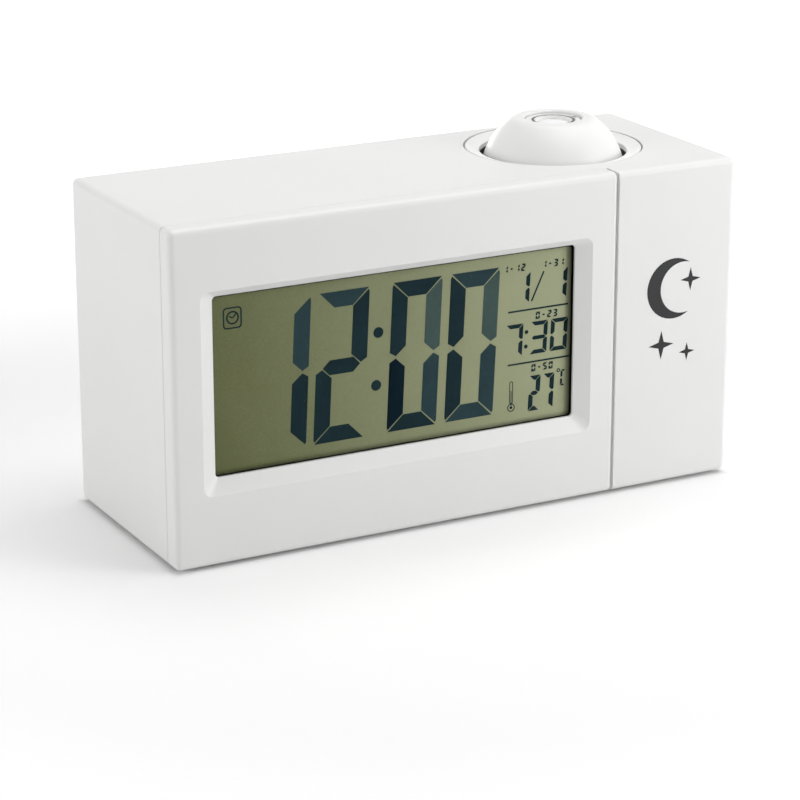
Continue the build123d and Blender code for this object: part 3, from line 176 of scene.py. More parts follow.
class Finish:
    """A node material round one Principled shader, patterned in the object's own space."""

    def __init__(self, name, colour, roughness, metallic=0.0, specular=0.5):
        self.material = bpy.data.materials.new(name)
        self.material.use_nodes = True
        self.nodes = self.material.node_tree.nodes
        self.links = self.material.node_tree.links
        self.nodes.clear()
        self.output = self.nodes.new("ShaderNodeOutputMaterial")
        self.shader = self.nodes.new("ShaderNodeBsdfPrincipled")
        self.links.new(self.shader.outputs["BSDF"], self.output.inputs["Surface"])
        self.shader.inputs["Base Color"].default_value = colour
        self.shader.inputs["Roughness"].default_value = roughness
        self.shader.inputs["Metallic"].default_value = metallic
        self.shader.inputs["Specular IOR Level"].default_value = specular
        self.place = self.nodes.new("ShaderNodeTexCoord").outputs["Object"]

    def stretched(self, scale):
        """Object coordinates scaled by three factors."""
        mapping = self.nodes.new("ShaderNodeMapping")
        mapping.inputs["Scale"].default_value = scale
        self.links.new(self.place, mapping.inputs["Vector"])
        return mapping.outputs["Vector"]

    def noise(self, scale, detail=2.0, place=None):
        """Noise of that many features per metre."""
        node = self.nodes.new("ShaderNodeTexNoise")
        node.inputs["Scale"].default_value = scale
        node.inputs["Detail"].default_value = detail
        self.links.new(place or self.place, node.inputs["Vector"])
        return node.outputs["Fac"]

    def bands(self, direction, scale):
        """Stripes across one axis."""
        node = self.nodes.new("ShaderNodeTexWave")
        node.bands_direction = direction
        node.inputs["Scale"].default_value = scale
        self.links.new(self.place, node.inputs["Vector"])
        return node.outputs["Fac"]

    def remap(self, value, low, high, to_low=0.0, to_high=1.0):
        """A value held between two limits and moved to two others."""
        node = self.nodes.new("ShaderNodeMapRange")
        limits = {"From Min": low, "From Max": high, "To Min": to_low, "To Max": to_high}
        for name, limit in limits.items():
            node.inputs[name].default_value = limit
        self.links.new(value, node.inputs["Value"])
        return node.outputs["Result"]

    def spread(self, noise, to_low=0.0, to_high=1.0):
        """Noise drawn out over a whole range."""
        return self.remap(noise, NOISE_LOW, NOISE_HIGH, to_low, to_high)

    def maths(self, operation, *values):
        """Result of an operation on numbers or outputs."""
        node = self.nodes.new("ShaderNodeMath")
        node.operation = operation
        for slot, value in zip(node.inputs, values):
            if isinstance(value, float):
                slot.default_value = value
            else:
                self.links.new(value, slot)
        return node.outputs["Value"]

    def distance(self, across, along):
        """Distance from an upright axis, of the two offsets from it."""
        squares = [self.maths("MULTIPLY", offset, offset) for offset in (across, along)]
        return self.maths("SQRT", self.maths("ADD", *squares))

    def axis(self, name):
        """One coordinate, in metres."""
        node = self.nodes.new("ShaderNodeSeparateXYZ")
        self.links.new(self.place, node.inputs["Vector"])
        return node.outputs[name]

    def mixed(self, share, low, high):
        """Colour between two colours, each given as numbers or as an output."""
        node = self.nodes.new("ShaderNodeMix")
        node.data_type = "RGBA"
        for name, colour in (("A", low), ("B", high)):
            if isinstance(colour, tuple):
                node.inputs[name].default_value = colour
            else:
                self.links.new(colour, node.inputs[name])
        self.links.new(share, node.inputs["Factor"])
        return node.outputs["Result"]

    def colours(self, share, low, high, light=None):
        """Base colour between two colours, dimmed to black by painted shade where light is 0."""
        colour = self.mixed(share, low, high)
        if light is not None:
            colour = self.mixed(light, NO_LIGHT, colour)
        self.links.new(colour, self.shader.inputs["Base Color"])

    def roughnesses(self, noise, low, high):
        """Roughness between two levels."""
        self.links.new(self.spread(noise, low, high), self.shader.inputs["Roughness"])

    def bump(self, height, depth):
        """Relief of that many millimetres, laid over any relief given before."""
        node = self.nodes.new("ShaderNodeBump")
        node.inputs["Distance"].default_value = depth * MM
        self.links.new(height, node.inputs["Height"])
        normal = self.shader.inputs["Normal"]
        if normal.is_linked:
            self.links.new(normal.links[0].from_socket, node.inputs["Normal"])
        self.links.new(node.outputs["Normal"], normal)

    def tooled(self, grain, depth):
        """Slow sink waves under the grain of the tool."""
        self.bump(self.noise(SINK_GRAIN, 1.0), SINK_DEPTH)
        self.bump(grain, depth)

    def lit_through(self, tint):
        """Lets lamps shine through a clear piece on what is behind it."""
        path = self.nodes.new("ShaderNodeLightPath")
        clear = self.nodes.new("ShaderNodeBsdfTransparent")
        clear.inputs["Color"].default_value = tint
        mix = self.nodes.new("ShaderNodeMixShader")
        self.links.new(path.outputs["Is Shadow Ray"], mix.inputs["Fac"])
        self.links.new(self.shader.outputs["BSDF"], mix.inputs[1])
        self.links.new(clear.outputs["BSDF"], mix.inputs[2])
        self.links.new(mix.outputs["Shader"], self.output.inputs["Surface"])


def darker(colour, share):
    """A colour times that share, which may be over 1."""
    return tuple(channel * share for channel in colour[:3]) + (1.0,)


def moulded(name, colour, roughness, grain, depth, spread=0.04, specular=0.5, seam_shade_at=None):
    """Moulded plastic: faint flow mottling, slow sink waves and the grain of the tool.

    A seam depth, if given, places a line of painted shade round the piece, where it meets its
    neighbour.
    """
    finish = Finish(name, colour, roughness, specular=specular)
    mottle = finish.spread(finish.noise(MOTTLE_GRAIN, 3.0))
    light = None
    # painted shade: the colour darkens in a thin line along the seam
    if seam_shade_at is not None:
        off = finish.maths("ABSOLUTE", finish.maths("SUBTRACT", finish.axis("Y"), seam_shade_at * MM))
        light = finish.remap(off, SEAM_SHADE_HALF * MM, (SEAM_SHADE_HALF + SEAM_SHADE_BLUR) * MM, SEAM_SHADE_LIGHT, 1.0)
    finish.colours(mottle, darker(colour, MOTTLE_SHARE), colour, light)
    fine = finish.noise(grain)
    finish.roughnesses(fine, roughness - spread, roughness + spread)
    finish.tooled(fine, depth)
    return finish.material


def swivel():
    """White dish over a throat painted black as shade, from a little below its mouth down."""
    finish = Finish("swivel_plastic", WHITE, 0.38)
    # painted shade: black below the throat height
    throat_shade = finish.remap(finish.axis("Z"), THROAT_SHADE_HIGH * MM, (THROAT_SHADE_HIGH + THROAT_SHADE_BLUR) * MM)
    finish.colours(throat_shade, srgb(8, 8, 9), TURRET_WHITE)
    fine = finish.noise(TOOL_GRAIN)
    finish.roughnesses(fine, 0.32, 0.42)
    finish.tooled(fine, TOOL_DEPTH)
    return finish.material


def barrel():
    """White barrel with a rim painted black round the lens as shade, on its upper end only."""
    finish = Finish("barrel_plastic", WHITE, 0.35)
    across = finish.maths("SUBTRACT", finish.axis("X"), TURRET[0] * MM)
    along = finish.maths("SUBTRACT", finish.axis("Y"), TURRET[1] * MM)
    radius = finish.distance(across, along)
    outer = finish.remap(radius, RIM_SHADE_RADIUS * MM, (RIM_SHADE_RADIUS + RIM_SHADE_BLUR) * MM)
    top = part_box("lens_barrel")[1].z
    upper = finish.remap(finish.axis("Z"), top - RIM_SHADE_LOW * MM, top - RIM_SHADE_HIGH * MM)
    # painted shade: black on the rim round the lens
    finish.colours(finish.maths("MULTIPLY", outer, upper), TURRET_WHITE, srgb(20, 20, 21))
    finish.bump(finish.noise(TOOL_GRAIN), TOOL_DEPTH)
    return finish.material


def rubber():
    """Soft grey rubber with a fine grain."""
    finish = Finish("soft_rubber", srgb(168, 168, 166), 0.75, specular=0.3)
    fine = finish.noise(3200.0)
    finish.colours(finish.spread(fine), srgb(150, 150, 148), srgb(172, 172, 170))
    finish.bump(fine, 0.015)
    return finish.material


def clear_plastic(name, ior, roughness, tint, clearness=1.0):
    """Clear or milky window or lens that lamps shine through, with a trace of haze."""
    finish = Finish(name, tint, roughness)
    finish.shader.inputs["Transmission Weight"].default_value = clearness
    finish.shader.inputs["IOR"].default_value = ior
    finish.bump(finish.noise(60.0, 1.0), 0.004)
    finish.lit_through(tint)
    return finish.material


def display_back():
    """Reflective display sheet: olive, with painted light that makes it paler towards the upper
    right.

    It has painted shade at its right and lower edges, where the bezel keeps the light off.
    """
    dark, pale = srgb(78, 81, 54), srgb(133, 136, 111)
    finish = Finish("display_back", dark, 0.6, specular=0.05)
    # painted light: the sheet grows paler towards the right, and a little towards the top
    across = finish.remap(finish.axis("X"), VIEW_LEFT * MM, VIEW_RIGHT * MM)
    across = finish.maths("MULTIPLY", finish.maths("POWER", across, 1.2), 0.81)
    upward_painted_light = finish.remap(finish.axis("Z"), VIEW_LOW * MM, VIEW_TOP * MM, 0.0, 0.05)
    share = finish.maths("ADD", across, upward_painted_light)
    sparkle = finish.remap(finish.noise(2600.0, 3.0), 0.25, 0.75, -0.05, 0.05)
    cloud = finish.spread(finish.noise(60.0), -0.03, 0.03)
    share = finish.maths("ADD", finish.maths("ADD", share, sparkle), cloud)
    # painted shade: darker at the right and lower edges, where the bezel keeps the light off
    side_shade_from, side_shade_to = VIEW_RIGHT - 1.6, VIEW_RIGHT + 0.3
    foot_shade_from, foot_shade_to = VIEW_LOW - 0.2, VIEW_LOW + 1.2
    side = finish.remap(finish.axis("X"), side_shade_from * MM, side_shade_to * MM, 1.0, 0.25)
    foot = finish.remap(finish.axis("Z"), foot_shade_from * MM, foot_shade_to * MM, 0.5, 1.0)
    finish.colours(share, dark, pale, finish.maths("MULTIPLY", side, foot))
    return finish.material


def display_mark(name, colour):
    """One tone of the display's marks."""
    finish = Finish(name, colour, 0.6, specular=0.03)
    speck = finish.spread(finish.noise(900.0))
    finish.colours(speck, darker(colour, 0.95), darker(colour, 1.05))
    return finish.material


def ink(name, colour, roughness):
    """Pad-printed ink with a faint orange-peel surface."""
    finish = Finish(name, colour, roughness, specular=0.35)
    speck = finish.noise(2600.0)
    finish.colours(finish.spread(speck), darker(colour, 0.85), darker(colour, 1.15))
    finish.bump(speck, 0.004)
    return finish.material


def plated(name, colour, roughness):
    """Plated metal with a light brushed grain and small stains."""
    finish = Finish(name, colour, roughness, metallic=1.0)
    grain = finish.noise(BRUSH_GRAIN, 3.0, finish.stretched((1.0, 0.15, 1.0)))
    finish.roughnesses(grain, roughness - 0.08, roughness + 0.1)
    stains = finish.remap(finish.noise(STAIN_GRAIN), 0.35, 0.7)
    finish.colours(stains, darker(colour, 0.86), colour)
    finish.bump(grain, 0.004)
    return finish.material


def circuit_board():
    """Green solder mask over a pattern of copper tracks."""
    mask, track = srgb(24, 78, 42), srgb(46, 112, 58)
    finish = Finish("circuit_board", mask, 0.35)
    bricks = finish.nodes.new("ShaderNodeTexBrick")
    bricks.inputs["Scale"].default_value = 240.0
    bricks.inputs["Mortar Size"].default_value = 0.09
    finish.links.new(finish.place, bricks.inputs["Vector"])
    finish.colours(bricks.outputs["Fac"], mask, track)
    finish.bump(bricks.outputs["Fac"], 0.02)
    return finish.material


def striped(name, low, high, scale, roughness):
    """Fine stripes across X: a flat cable or a contact strip."""
    finish = Finish(name, low, roughness)
    lines = finish.bands("X", scale)
    finish.colours(finish.remap(lines, 0.35, 0.65), low, high)
    finish.bump(lines, 0.01)
    return finish.material


def paper_cone():
    """Black paper with pale fibres."""
    finish = Finish("paper_cone", srgb(28, 28, 29), 0.8, specular=0.25)
    fibres = finish.noise(1400.0, 4.0)
    finish.colours(finish.spread(fibres), srgb(18, 18, 19), srgb(40, 40, 41))
    finish.bump(fibres, 0.03)
    return finish.material


def battery_sleeve():
    """Plain two-coloured sleeve: grey-blue, and pale towards the plus pole of each cell."""
    body, band = srgb(60, 72, 92), srgb(196, 200, 204)
    finish = Finish("battery_sleeve", body, 0.32)
    blur = 0.1
    middle_x = sum(POCKET_ENDS) / 2
    middle_z = sum(height for height, side in CELL_ROWS) / 2
    # the upper cell has its plus pole at the left, the lower one at the right
    between = ((middle_z - blur) * MM, (middle_z + blur) * MM)
    turned = finish.remap(finish.axis("Z"), *between, 1.0, -1.0)
    off = finish.maths("SUBTRACT", finish.axis("X"), middle_x * MM)
    along = finish.maths("MULTIPLY", off, turned)
    share = finish.remap(along, (CELL_BAND - blur) * MM, (CELL_BAND + blur) * MM)
    finish.colours(share, body, band)
    finish.roughnesses(finish.noise(500.0), 0.28, 0.4)
    return finish.material


def make_materials():
    """One finish for each slot of the record."""
    made = {slot: moulded(slot, *look) for slot, look in MOULDED.items()}
    made.update({slot: plated(slot, *look) for slot, look in PLATED.items()})
    # the bezel gets a line of painted shade along its seam with the shell
    made["bezel_plastic"] = moulded("bezel_plastic", WHITE, 0.42, 2600.0, 0.005, seam_shade_at=SEAM_AT)
    made["ball_plastic"] = moulded("ball_plastic", srgb(242, 242, 241), 0.38, 3000.0, 0.001,
                                   spread=0.03, specular=0.35)
    made["foot_rubber"] = rubber()
    made["clear_window"] = clear_plastic("clear_window", WINDOW_IOR, 0.02,
                                         (0.985, 0.99, 0.985, 1.0))
    made["clear_lens"] = clear_plastic("clear_lens", 1.45, 0.04, (0.97, 0.98, 0.99, 1.0))
    made["lcd_glass"] = display_back()
    made["elastomer"] = striped("elastomer", srgb(214, 150, 158), srgb(70, 60, 62), 900.0, 0.6)
    made["ribbon_film"] = striped("ribbon_film", srgb(226, 222, 208), srgb(150, 146, 138),
                                  130.0, 0.4)
    made["board_laminate"] = circuit_board()
    made["speaker_black"] = paper_cone()
    made["battery_case"] = battery_sleeve()
    return made


def dress_frame(materials):
    """Gives every CAD node the finish of its slot, or one of its own."""
    for part in frame["record"]["subparts"]:
        node = frame["nodes"][part["node"]]
        node.material_slots[0].material = materials[part["material_slot"]]
    special = {
        "projection_lcd": clear_plastic("cell_glass", 1.4, 0.45, (0.85, 0.87, 0.88, 1.0)),
        "projection_lens": clear_plastic("milky_lens", 1.5, 0.12, (0.99, 0.99, 0.995, 1.0), 0.06),
        "lens_barrel": barrel(),
        "turntable": swivel(),
    }
    for name, material in special.items():
        frame["nodes"][name].material_slots[0].material = material


# ---------------------------------------------------------------- flat shapes, as lists of (x, z)

def circle(x, z, radius, count=32, start=0.0, turn=2 * pi):
    """Points on a circle or, with a smaller turn, on an arc."""
    angles = [start + i * turn / count for i in range(count)]
    return [(x + radius * cos(angle), z + radius * sin(angle)) for angle in angles]


def rounded_box(x0, x1, z0, z1, radius, count=6):
    """Outline of a box with round corners, anticlockwise from its right side."""
    left, right, low, high = x0 + radius, x1 - radius, z0 + radius, z1 - radius
    points = []
    for i, (x, z) in enumerate(((right, high), (left, high), (left, low), (right, low))):
        for j in range(count + 1):
            angle = (i + j / count) * pi / 2
            points.append((x + radius * cos(angle), z + radius * sin(angle)))
    return points


def ring(outer, inner):
    """Faces between two outlines with as many points."""
    after = [*range(1, len(outer)), 0]
    return [[outer[i], outer[j], inner[j], inner[i]] for i, j in enumerate(after)]


def bar(start, end, width):
    """Straight stroke between two points."""
    a, b = Vector(start), Vector(end)
    along = b - a
    side = Vector((-along.y, along.x)).normalized() * width / 2
    return [tuple(a + side), tuple(a - side), tuple(b - side), tuple(b + side)]


def segments(width, height, stroke, gap):
    """The seven mitred segments of a digit, from its lower left corner."""
    def flip_x(points):
        return [(width - x, z) for x, z in points]

    def flip_z(points):
        return [(x, height - z) for x, z in points]

    middle = height / 2
    cut = gap * MITRE
    leg = stroke * LEG_SHARE
    ease = cut * 0.4
    top = [(cut, height), (width - cut, height), (width - leg - ease, height - stroke),
           (leg + ease, height - stroke)]

    clip = stroke * CLIP_SHARE
    clip_in, clip_down = clip * 0.4, clip * 1.4
    tip_in, tip_up = stroke * TIP_SHARE, gap * 1.7
    outer_up, inner_up = tip_up + stroke * TIP_OUTER, tip_up + stroke * TIP_INNER
    upper_right = [(width - leg, height - stroke - cut),
                   (width - clip_in, height - cut - clip_in),
                   (width, height - cut - clip_down), (width, middle + outer_up),
                   (width - tip_in, middle + tip_up), (width - leg, middle + inner_up)]

    half, waist = stroke * BRIDGE_HALF, stroke * BRIDGE_WAIST
    shoulder = waist + half
    bridge = [(waist, middle), (shoulder, middle + half), (width - shoulder, middle + half),
              (width - waist, middle), (width - shoulder, middle - half),
              (shoulder, middle - half)]
    return {"a": top, "b": upper_right, "c": flip_z(upper_right), "d": flip_z(top),
            "e": flip_z(flip_x(upper_right)), "f": flip_x(upper_right), "g": bridge}


def digit(mark, u, v, size, gap, tones=None):
    """Cells of one digit of the display, each with its tone."""
    tones = tones or {}
    shapes = segments(*size, gap)
    cells = []
    for name in SEGMENTS[mark]:
        points = [(u + x + DIGIT_LEAN * z, v + z) for x, z in shapes[name]]
        cells.append((points, tones.get(name, DARK)))
    return cells


def number(text, u, v, size, pitch=0.0, gap=SMALL_GAP):
    """A row of small digits."""
    cells = []
    for i, mark in enumerate(text):
        cells += digit(mark, u + i * pitch, v, size, gap)
    return cells


def label(text, u, v):
    """Range of a reading, in the smallest digits."""
    return number(text, u, v, LABEL_DIGIT, LABEL_PITCH, LABEL_GAP)


def plain(polygons):
    """Cells of the first tone."""
    return [(points, DARK) for points in polygons]


def big_time():
    """12:00, with a few segments paler than the rest."""
    cells = []
    for mark, u, tones in BIG_DIGITS:
        cells += digit(mark, u, BIG_BASE, BIG_DIGIT, BIG_GAP, tones)
    return cells + plain([circle(u, v, COLON_RADIUS) for u, v in COLON])


def clock_icon():
    """Dial in a rounded frame, at the upper left."""
    left, right, low, high, line = 3.4, 8.1, 34.3, 39.4, 0.34
    outer = rounded_box(left, right, low, high, 0.9)
    inner = rounded_box(left + line, right - line, low + line, high - line, 0.6)
    u, v, radius, dial_line, hand = 5.8, 36.9, 1.6, 0.38, 0.3
    cells = ring(outer, inner)
    cells += ring(circle(u, v, radius), circle(u, v, radius - dial_line))
    cells.append(bar((u, v - 0.1), (u + 0.9, v + 0.9), hand))
    cells.append(bar((u - 0.05, v - 0.05), (u - 0.85, v + 0.4), hand))
    return plain(cells)


def thermometer(u, v):
    """Outlined tube over a bulb, with a column of liquid in it."""
    line, half, low, high = 0.18, 0.48, v + 0.95, v + 6.6
    tube = ring(rounded_box(u - half, u + half, low, high, 0.42, 4),
                rounded_box(u - half + line, u + half - line, low + line, high - line, 0.26, 4))
    bulb = ring(circle(u, v, 1.03, 20), circle(u, v, 0.8, 20))
    liquid = [circle(u, v, 0.36, 12), bar((u, v + 0.3), (u, v + 4.2), 0.16)]
    return plain(tube + bulb + liquid)


def side_column():
    """Date, alarm time and temperature in small digits, between two lines."""
    rule, dot = 0.42, 0.5
    # date: a 1, a slash and a 1, under the ranges of month and day
    cells = number("1", 80.2, DATE_BASE, DATE_DIGIT) + number("1", 90.5, DATE_BASE, DATE_DIGIT)
    cells += plain([bar((84.1, 30.0), (87.4, 37.0), 0.4)])
    cells += label("1-12", 76.3, 37.8) + label("1-31", 86.9, 37.8)
    cells += plain([bar((77.7, 28.02), (94.3, 28.02), rule),
                    bar((77.75, 14.83), (94.8, 14.83), rule)])
    # alarm time under the range of its hours
    cells += number("7", 76.9, ALARM_BASE, ALARM_DIGIT)
    cells += number("30", 83.7, ALARM_BASE, ALARM_DIGIT, ALARM_PITCH)
    cells += plain([circle(82.85, 22.5, dot, 14), circle(82.7, 18.9, dot, 14)])
    cells += label("0-23", 85.3, 25.35)
    # temperature under its range, with a degree sign and a thermometer
    cells += label("0-50", 84.3, 12.35)
    cells += number("27", 83.45, WARMTH_BASE, WARMTH_DIGIT, WARMTH_PITCH)
    cells += plain(ring(circle(91.9, 11.6, 0.5, 14), circle(91.9, 11.6, 0.24, 14)))
    cells += number("c", 92.4, 7.6, UNIT_DIGIT)
    cells += thermometer(78.8, 4.1)
    return cells


def display_cells():
    """All marks of the display, in the row frame."""
    return [([(VIEW_LEFT + u, VIEW_LOW + v) for u, v in points], tone)
            for points, tone in big_time() + clock_icon() + side_column()]


# ---------------------------------------------------------------- printed pieces

def printed(name, cells, y, thickness, materials):
    """Thin solid of flat cells that stands on depth y and is thickness proud of it."""
    mesh = bmesh.new()
    for points, tone in cells:
        corners = [mesh.verts.new((x * MM, y * MM, z * MM)) for x, z in points]
        mesh.faces.new(corners).material_index = tone
    bmesh.ops.remove_doubles(mesh, verts=mesh.verts, dist=WELD)
    grown = bmesh.ops.extrude_face_region(mesh, geom=mesh.faces[:], use_keep_orig=True)
    for item in grown["geom"]:
        if isinstance(item, bmesh.types.BMVert):
            item.co.y += thickness * MM
    bmesh.ops.recalc_face_normals(mesh, faces=mesh.faces)
    data = bpy.data.meshes.new(name)
    mesh.to_mesh(data)
    mesh.free()
    for material in materials:
        data.materials.append(material)
    piece = bpy.data.objects.new(name, data)
    bpy.context.scene.collection.objects.link(piece)
    return piece


def add_display():
    """The dark marks on the display's glass and the black border behind the window, partly painted
    shade at the view's edges.
    """
    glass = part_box("lcd_panel")[0].y / MM
    tones = [display_mark(name, colour) for name, colour in MARK_TONES]
    marks = printed("display_marks", display_cells(), glass, -MARK_THICKNESS, tones)
    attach(marks, "housing")
    low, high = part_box("display_window")
    outer = rounded_box(low.x / MM + BORDER_EDGE, high.x / MM - BORDER_EDGE,
                        low.z / MM + BORDER_EDGE, high.z / MM - BORDER_EDGE, 0.5)
    # painted shade: the border reaches into the view at its left and top, as a dark line under the
    # bezel's lip
    inner = rounded_box(VIEW_LEFT + BORDER_SHADE_LEFT, VIEW_RIGHT,
                        VIEW_LOW, VIEW_TOP - BORDER_SHADE_DROP, 0.9)
    border = printed("window_border_and_shade", plain(ring(outer, inner)), high.y / MM, BORDER_THICKNESS,
                     [ink("border_black", srgb(14, 16, 14), 0.5)])
    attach(border, "housing")


def crescent(x, z, radius, count=30):
    """Moon open to the right, as cells between its outer arc and a smaller one."""
    start, end, shift = 55, 305, 0.22
    turn = radians(end - start) * count / (count - 1)
    outer = circle(x, z, radius, count, radians(start), turn)
    first, last = Vector(outer[0]), Vector(outer[-1])
    centre = (first + last) / 2 + Vector((-1.0, 0.0)) * radius * shift
    swing = first - centre
    total = 2 * pi - 2 * abs(Vector((1.0, 0.0)).angle(swing))
    inner = [outer[0]]
    for i in range(1, count - 1):
        turned = Matrix.Rotation(total * i / (count - 1), 2) @ swing
        inner.append(tuple(centre + turned))
    inner.append(outer[-1])
    cells = [[outer[0], outer[1], inner[1]], [outer[-2], outer[-1], inner[-2]]]
    for i in range(1, count - 2):
        cells.append([outer[i], outer[i + 1], inner[i + 1], inner[i]])
    return cells


def star(x, z, radius):
    """Four-pointed star."""
    points = []
    for i in range(8):
        reach = radius if i % 2 == 0 else radius * 0.3
        points.append((x + reach * cos(i * pi / 4), z + reach * sin(i * pi / 4)))
    return points


def add_panel_motif():
    """Moon and three stars on the plain panel at the right."""
    cells = crescent(PANEL_MIDDLE - 0.4, 50.2, 7.6)
    for x, z, radius in ((4.4, 52.0, 2.9), (-3.6, 36.2, 3.6), (3.9, 33.6, 2.3)):
        cells.append(star(PANEL_MIDDLE + x, z, radius))
    motif = printed("panel_motif", plain(cells), FRONT, -INK_THICKNESS,
                    [ink("print_black", srgb(26, 26, 28), 0.45)])
    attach(motif, "housing")


def sun(x, z):
    """Disc with eight rays."""
    cells = [circle(x, z, 0.5, 16)]
    for i in range(8):
        across, up = cos(i * pi / 4), sin(i * pi / 4)
        cells.append(bar((x + 0.75 * across, z + 0.75 * up),
                         (x + 1.15 * across, z + 1.15 * up), 0.2))
    return cells


def arrowhead(x, z, way):
    """Triangle that points up where way is 1, and down where it is -1."""
    return [[(x - 0.95, z - 0.7 * way), (x + 0.95, z - 0.7 * way), (x, z + 0.8 * way)]]


def dial(x, z):
    """Round dial with two hands."""
    radius, line = 1.05, 0.22
    rim = ring(circle(x, z, radius, 20), circle(x, z, radius - line, 20))
    return rim + [bar((x, z), (x, z + radius * 0.6), line),
                  bar((x, z), (x - radius * 0.5, z), line)]


def beam(x, z):
    """Cone of light under a line."""
    return [[(x - 0.3, z - 1.0), (x + 0.3, z - 1.0), (x + 0.95, z + 0.5), (x - 0.95, z + 0.5)],
            bar((x - 1.1, z + 0.95), (x + 1.1, z + 0.95), 0.25)]


def bell(x, z):
    """Bell outline filled in, with its clapper below."""
    size = 2.3
    brim, shoulder = size * 0.43, size * 0.3
    dome = circle(x, z + 0.1 * size, shoulder, 12, 0.0, pi) + [(x - shoulder, z + 0.1 * size)]
    body = dome + [(x - brim, z - 0.3 * size), (x + brim, z - 0.3 * size)]
    return [body, circle(x, z - 0.42 * size, 0.09 * size, 10)]


def key_sign(sign, x, z):
    """Sign of about two millimetres."""
    signs = {"sun": sun, "dial": dial, "beam": beam, "bell": bell}
    if sign in signs:
        return signs[sign](x, z)
    return arrowhead(x, z, 1 if sign == "up" else -1)


def pole_mark(x, z, plus):
    """Plus or minus sign; the upright of a plus is in two halves, clear of the cross bar."""
    half, line = 0.6, 0.3
    cells = [bar((x - half, z), (x + half, z), line)]
    if plus:
        cells += [bar((x, z + line / 2), (x, z + half), line),
                  bar((x, z - half), (x, z - line / 2), line)]
    return cells


def add_back_signs():
    """Signs over the keys and switches, and the poles of the cells beside their pocket."""
    grey = ink("print_grey", srgb(92, 94, 98), 0.5)
    cells = []
    for places, high in ((KEY_PLACES, KEY_SIGNS_HIGH), (SWITCH_PLACES, SWITCH_SIGNS_HIGH)):
        for sign, x in places.items():
            cells += key_sign(sign, x, high)
    signs = printed("key_signs", plain(cells), KEY_FLOOR, INK_THICKNESS, [grey])
    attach(signs, "housing")
    cells = []
    for z, side in CELL_ROWS:
        for x, way in zip(POCKET_ENDS, (-side, side)):
            cells += pole_mark(x, z, way > 0)
    poles = printed("pole_marks", plain(cells), POCKET_LEDGE, INK_THICKNESS, [grey])
    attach(poles, "housing")


# ---------------------------------------------------------------- stage

def add_floor():
    """White floor that keeps the clock's shadow, with painted shade along its outline, and fades to
    plain white for the camera.
    """
    finish = Finish("floor_white", (0.88, 0.88, 0.88, 1.0), 0.9, specular=0.0)
    path = finish.nodes.new("ShaderNodeLightPath")
    seen = finish.maths("MAXIMUM", path.outputs["Is Camera Ray"], path.outputs["Is Glossy Ray"])
    seen = finish.maths("MAXIMUM", seen, path.outputs["Is Transmission Ray"])
    # its own light grows away from the clock
    along, across = finish.axis("X"), finish.axis("Y")
    away = finish.distance(along, across)
    away = finish.remap(away, FADE_START, FADE_END, FLOOR_LIFT, 1.0)
    # and is left out under it, so that the contact shadow stays, and faded in just outside it,
    # which paints shade along the clock's outline
    beside = finish.maths("SUBTRACT", finish.maths("ABSOLUTE", along), WIDTH / 2 * MM)
    before = finish.maths("SUBTRACT", finish.maths("ABSOLUTE", across), DEPTH / 2 * MM)
    clear = finish.maths("MAXIMUM", beside, before)
    clear = finish.remap(clear, CONTACT_SHADE_FROM * MM, CONTACT_SHADE_TO * MM)
    strength = finish.maths("MULTIPLY", finish.maths("MULTIPLY", seen, away), clear)
    finish.shader.inputs["Emission Color"].default_value = FULL_LIGHT
    finish.links.new(strength, finish.shader.inputs["Emission Strength"])
    bpy.ops.mesh.primitive_plane_add(size=FLOOR_SIZE)
    floor = bpy.context.object
    floor.name = "floor"
    floor.data.materials.append(finish.material)


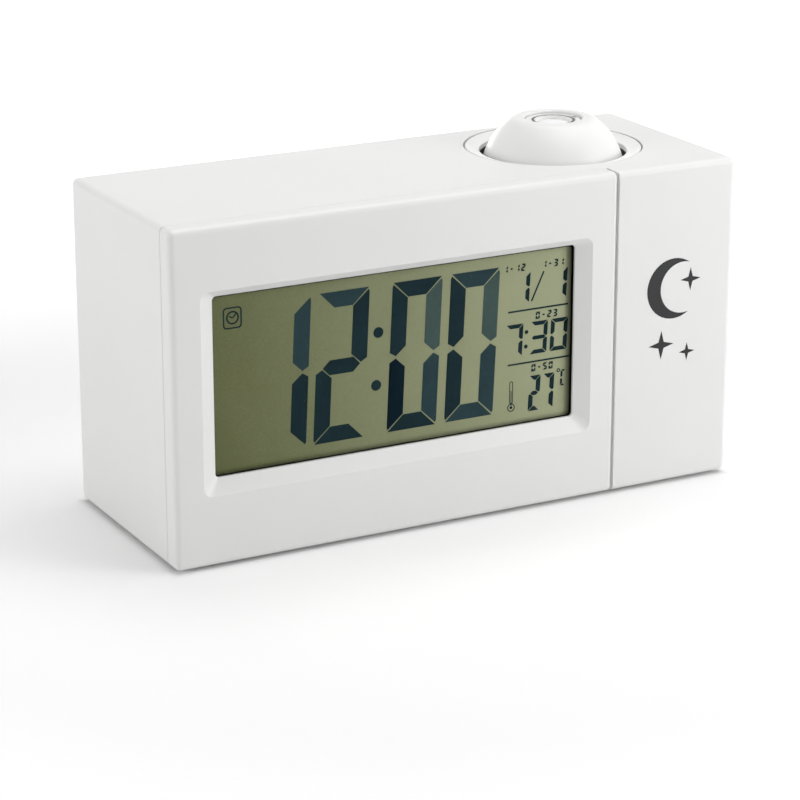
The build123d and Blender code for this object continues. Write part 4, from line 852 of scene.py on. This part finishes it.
def add_world():
    """White surroundings for the camera, mirrors and clear pieces, and dim ones as light."""
    world = bpy.data.worlds.new("studio")
    bpy.context.scene.world = world
    world.use_nodes = True
    nodes, links = world.node_tree.nodes, world.node_tree.links
    nodes.clear()
    output = nodes.new("ShaderNodeOutputWorld")
    mix = nodes.new("ShaderNodeMixShader")
    path = nodes.new("ShaderNodeLightPath")
    seen = path.outputs["Is Camera Ray"]
    for name in ("Is Glossy Ray", "Is Transmission Ray"):
        join = nodes.new("ShaderNodeMath")
        join.operation = "MAXIMUM"
        links.new(seen, join.inputs[0])
        links.new(path.outputs[name], join.inputs[1])
        seen = join.outputs["Value"]
    links.new(seen, mix.inputs["Fac"])
    for i, level in ((1, WORLD_LEVEL), (2, 1.0)):
        light = nodes.new("ShaderNodeBackground")
        light.inputs["Color"].default_value = FULL_LIGHT
        light.inputs["Strength"].default_value = level
        links.new(light.outputs["Background"], mix.inputs[i])
    links.new(mix.outputs["Shader"], output.inputs["Surface"])


def add_lamp(name, place, target, size, watts):
    """Soft box that faces a point."""
    data = bpy.data.lights.new(name, "AREA")
    data.shape = "RECTANGLE"
    data.size, data.size_y = size[0] * MM, size[1] * MM
    data.energy = watts
    lamp = bpy.data.objects.new(name, data)
    bpy.context.scene.collection.objects.link(lamp)
    lamp.location = Vector(place) * MM
    way = Vector(target) - Vector(place)
    lamp.rotation_euler = way.to_track_quat("-Z", "Y").to_euler()


def add_camera():
    """The photo's camera."""
    azimuth, elevation = radians(CAMERA_AZIMUTH), radians(CAMERA_ELEVATION)
    level = cos(elevation)
    forward = Vector((sin(azimuth) * level, cos(azimuth) * level, -sin(elevation)))
    right = Vector((cos(azimuth), -sin(azimuth), 0.0))
    up = right.cross(forward)
    data = bpy.data.cameras.new("camera")
    data.lens, data.sensor_width = CAMERA_LENS, CAMERA_SENSOR
    data.clip_start, data.clip_end = CAMERA_NEAR, CAMERA_FAR
    camera = bpy.data.objects.new("camera", data)
    bpy.context.scene.collection.objects.link(camera)
    turn = Matrix((right, up, -forward)).transposed().to_4x4()
    camera.matrix_world = Matrix.Translation(Vector(CAMERA_AT) * MM) @ turn
    bpy.context.scene.camera = camera


# ---------------------------------------------------------------- the scene

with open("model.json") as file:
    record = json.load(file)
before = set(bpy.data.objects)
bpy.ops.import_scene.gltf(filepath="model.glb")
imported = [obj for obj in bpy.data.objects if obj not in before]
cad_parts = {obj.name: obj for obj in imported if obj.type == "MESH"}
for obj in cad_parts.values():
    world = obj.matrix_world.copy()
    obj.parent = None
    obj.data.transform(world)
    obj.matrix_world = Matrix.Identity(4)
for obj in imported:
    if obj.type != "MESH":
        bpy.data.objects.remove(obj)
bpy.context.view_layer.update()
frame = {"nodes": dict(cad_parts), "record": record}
bpy.context.scene.view_settings.view_transform = "Standard"
dress_frame(make_materials())
add_display()
add_panel_motif()
add_back_signs()
add_floor()
add_world()
for lamp in LAMPS:
    add_lamp(*lamp)
add_camera()
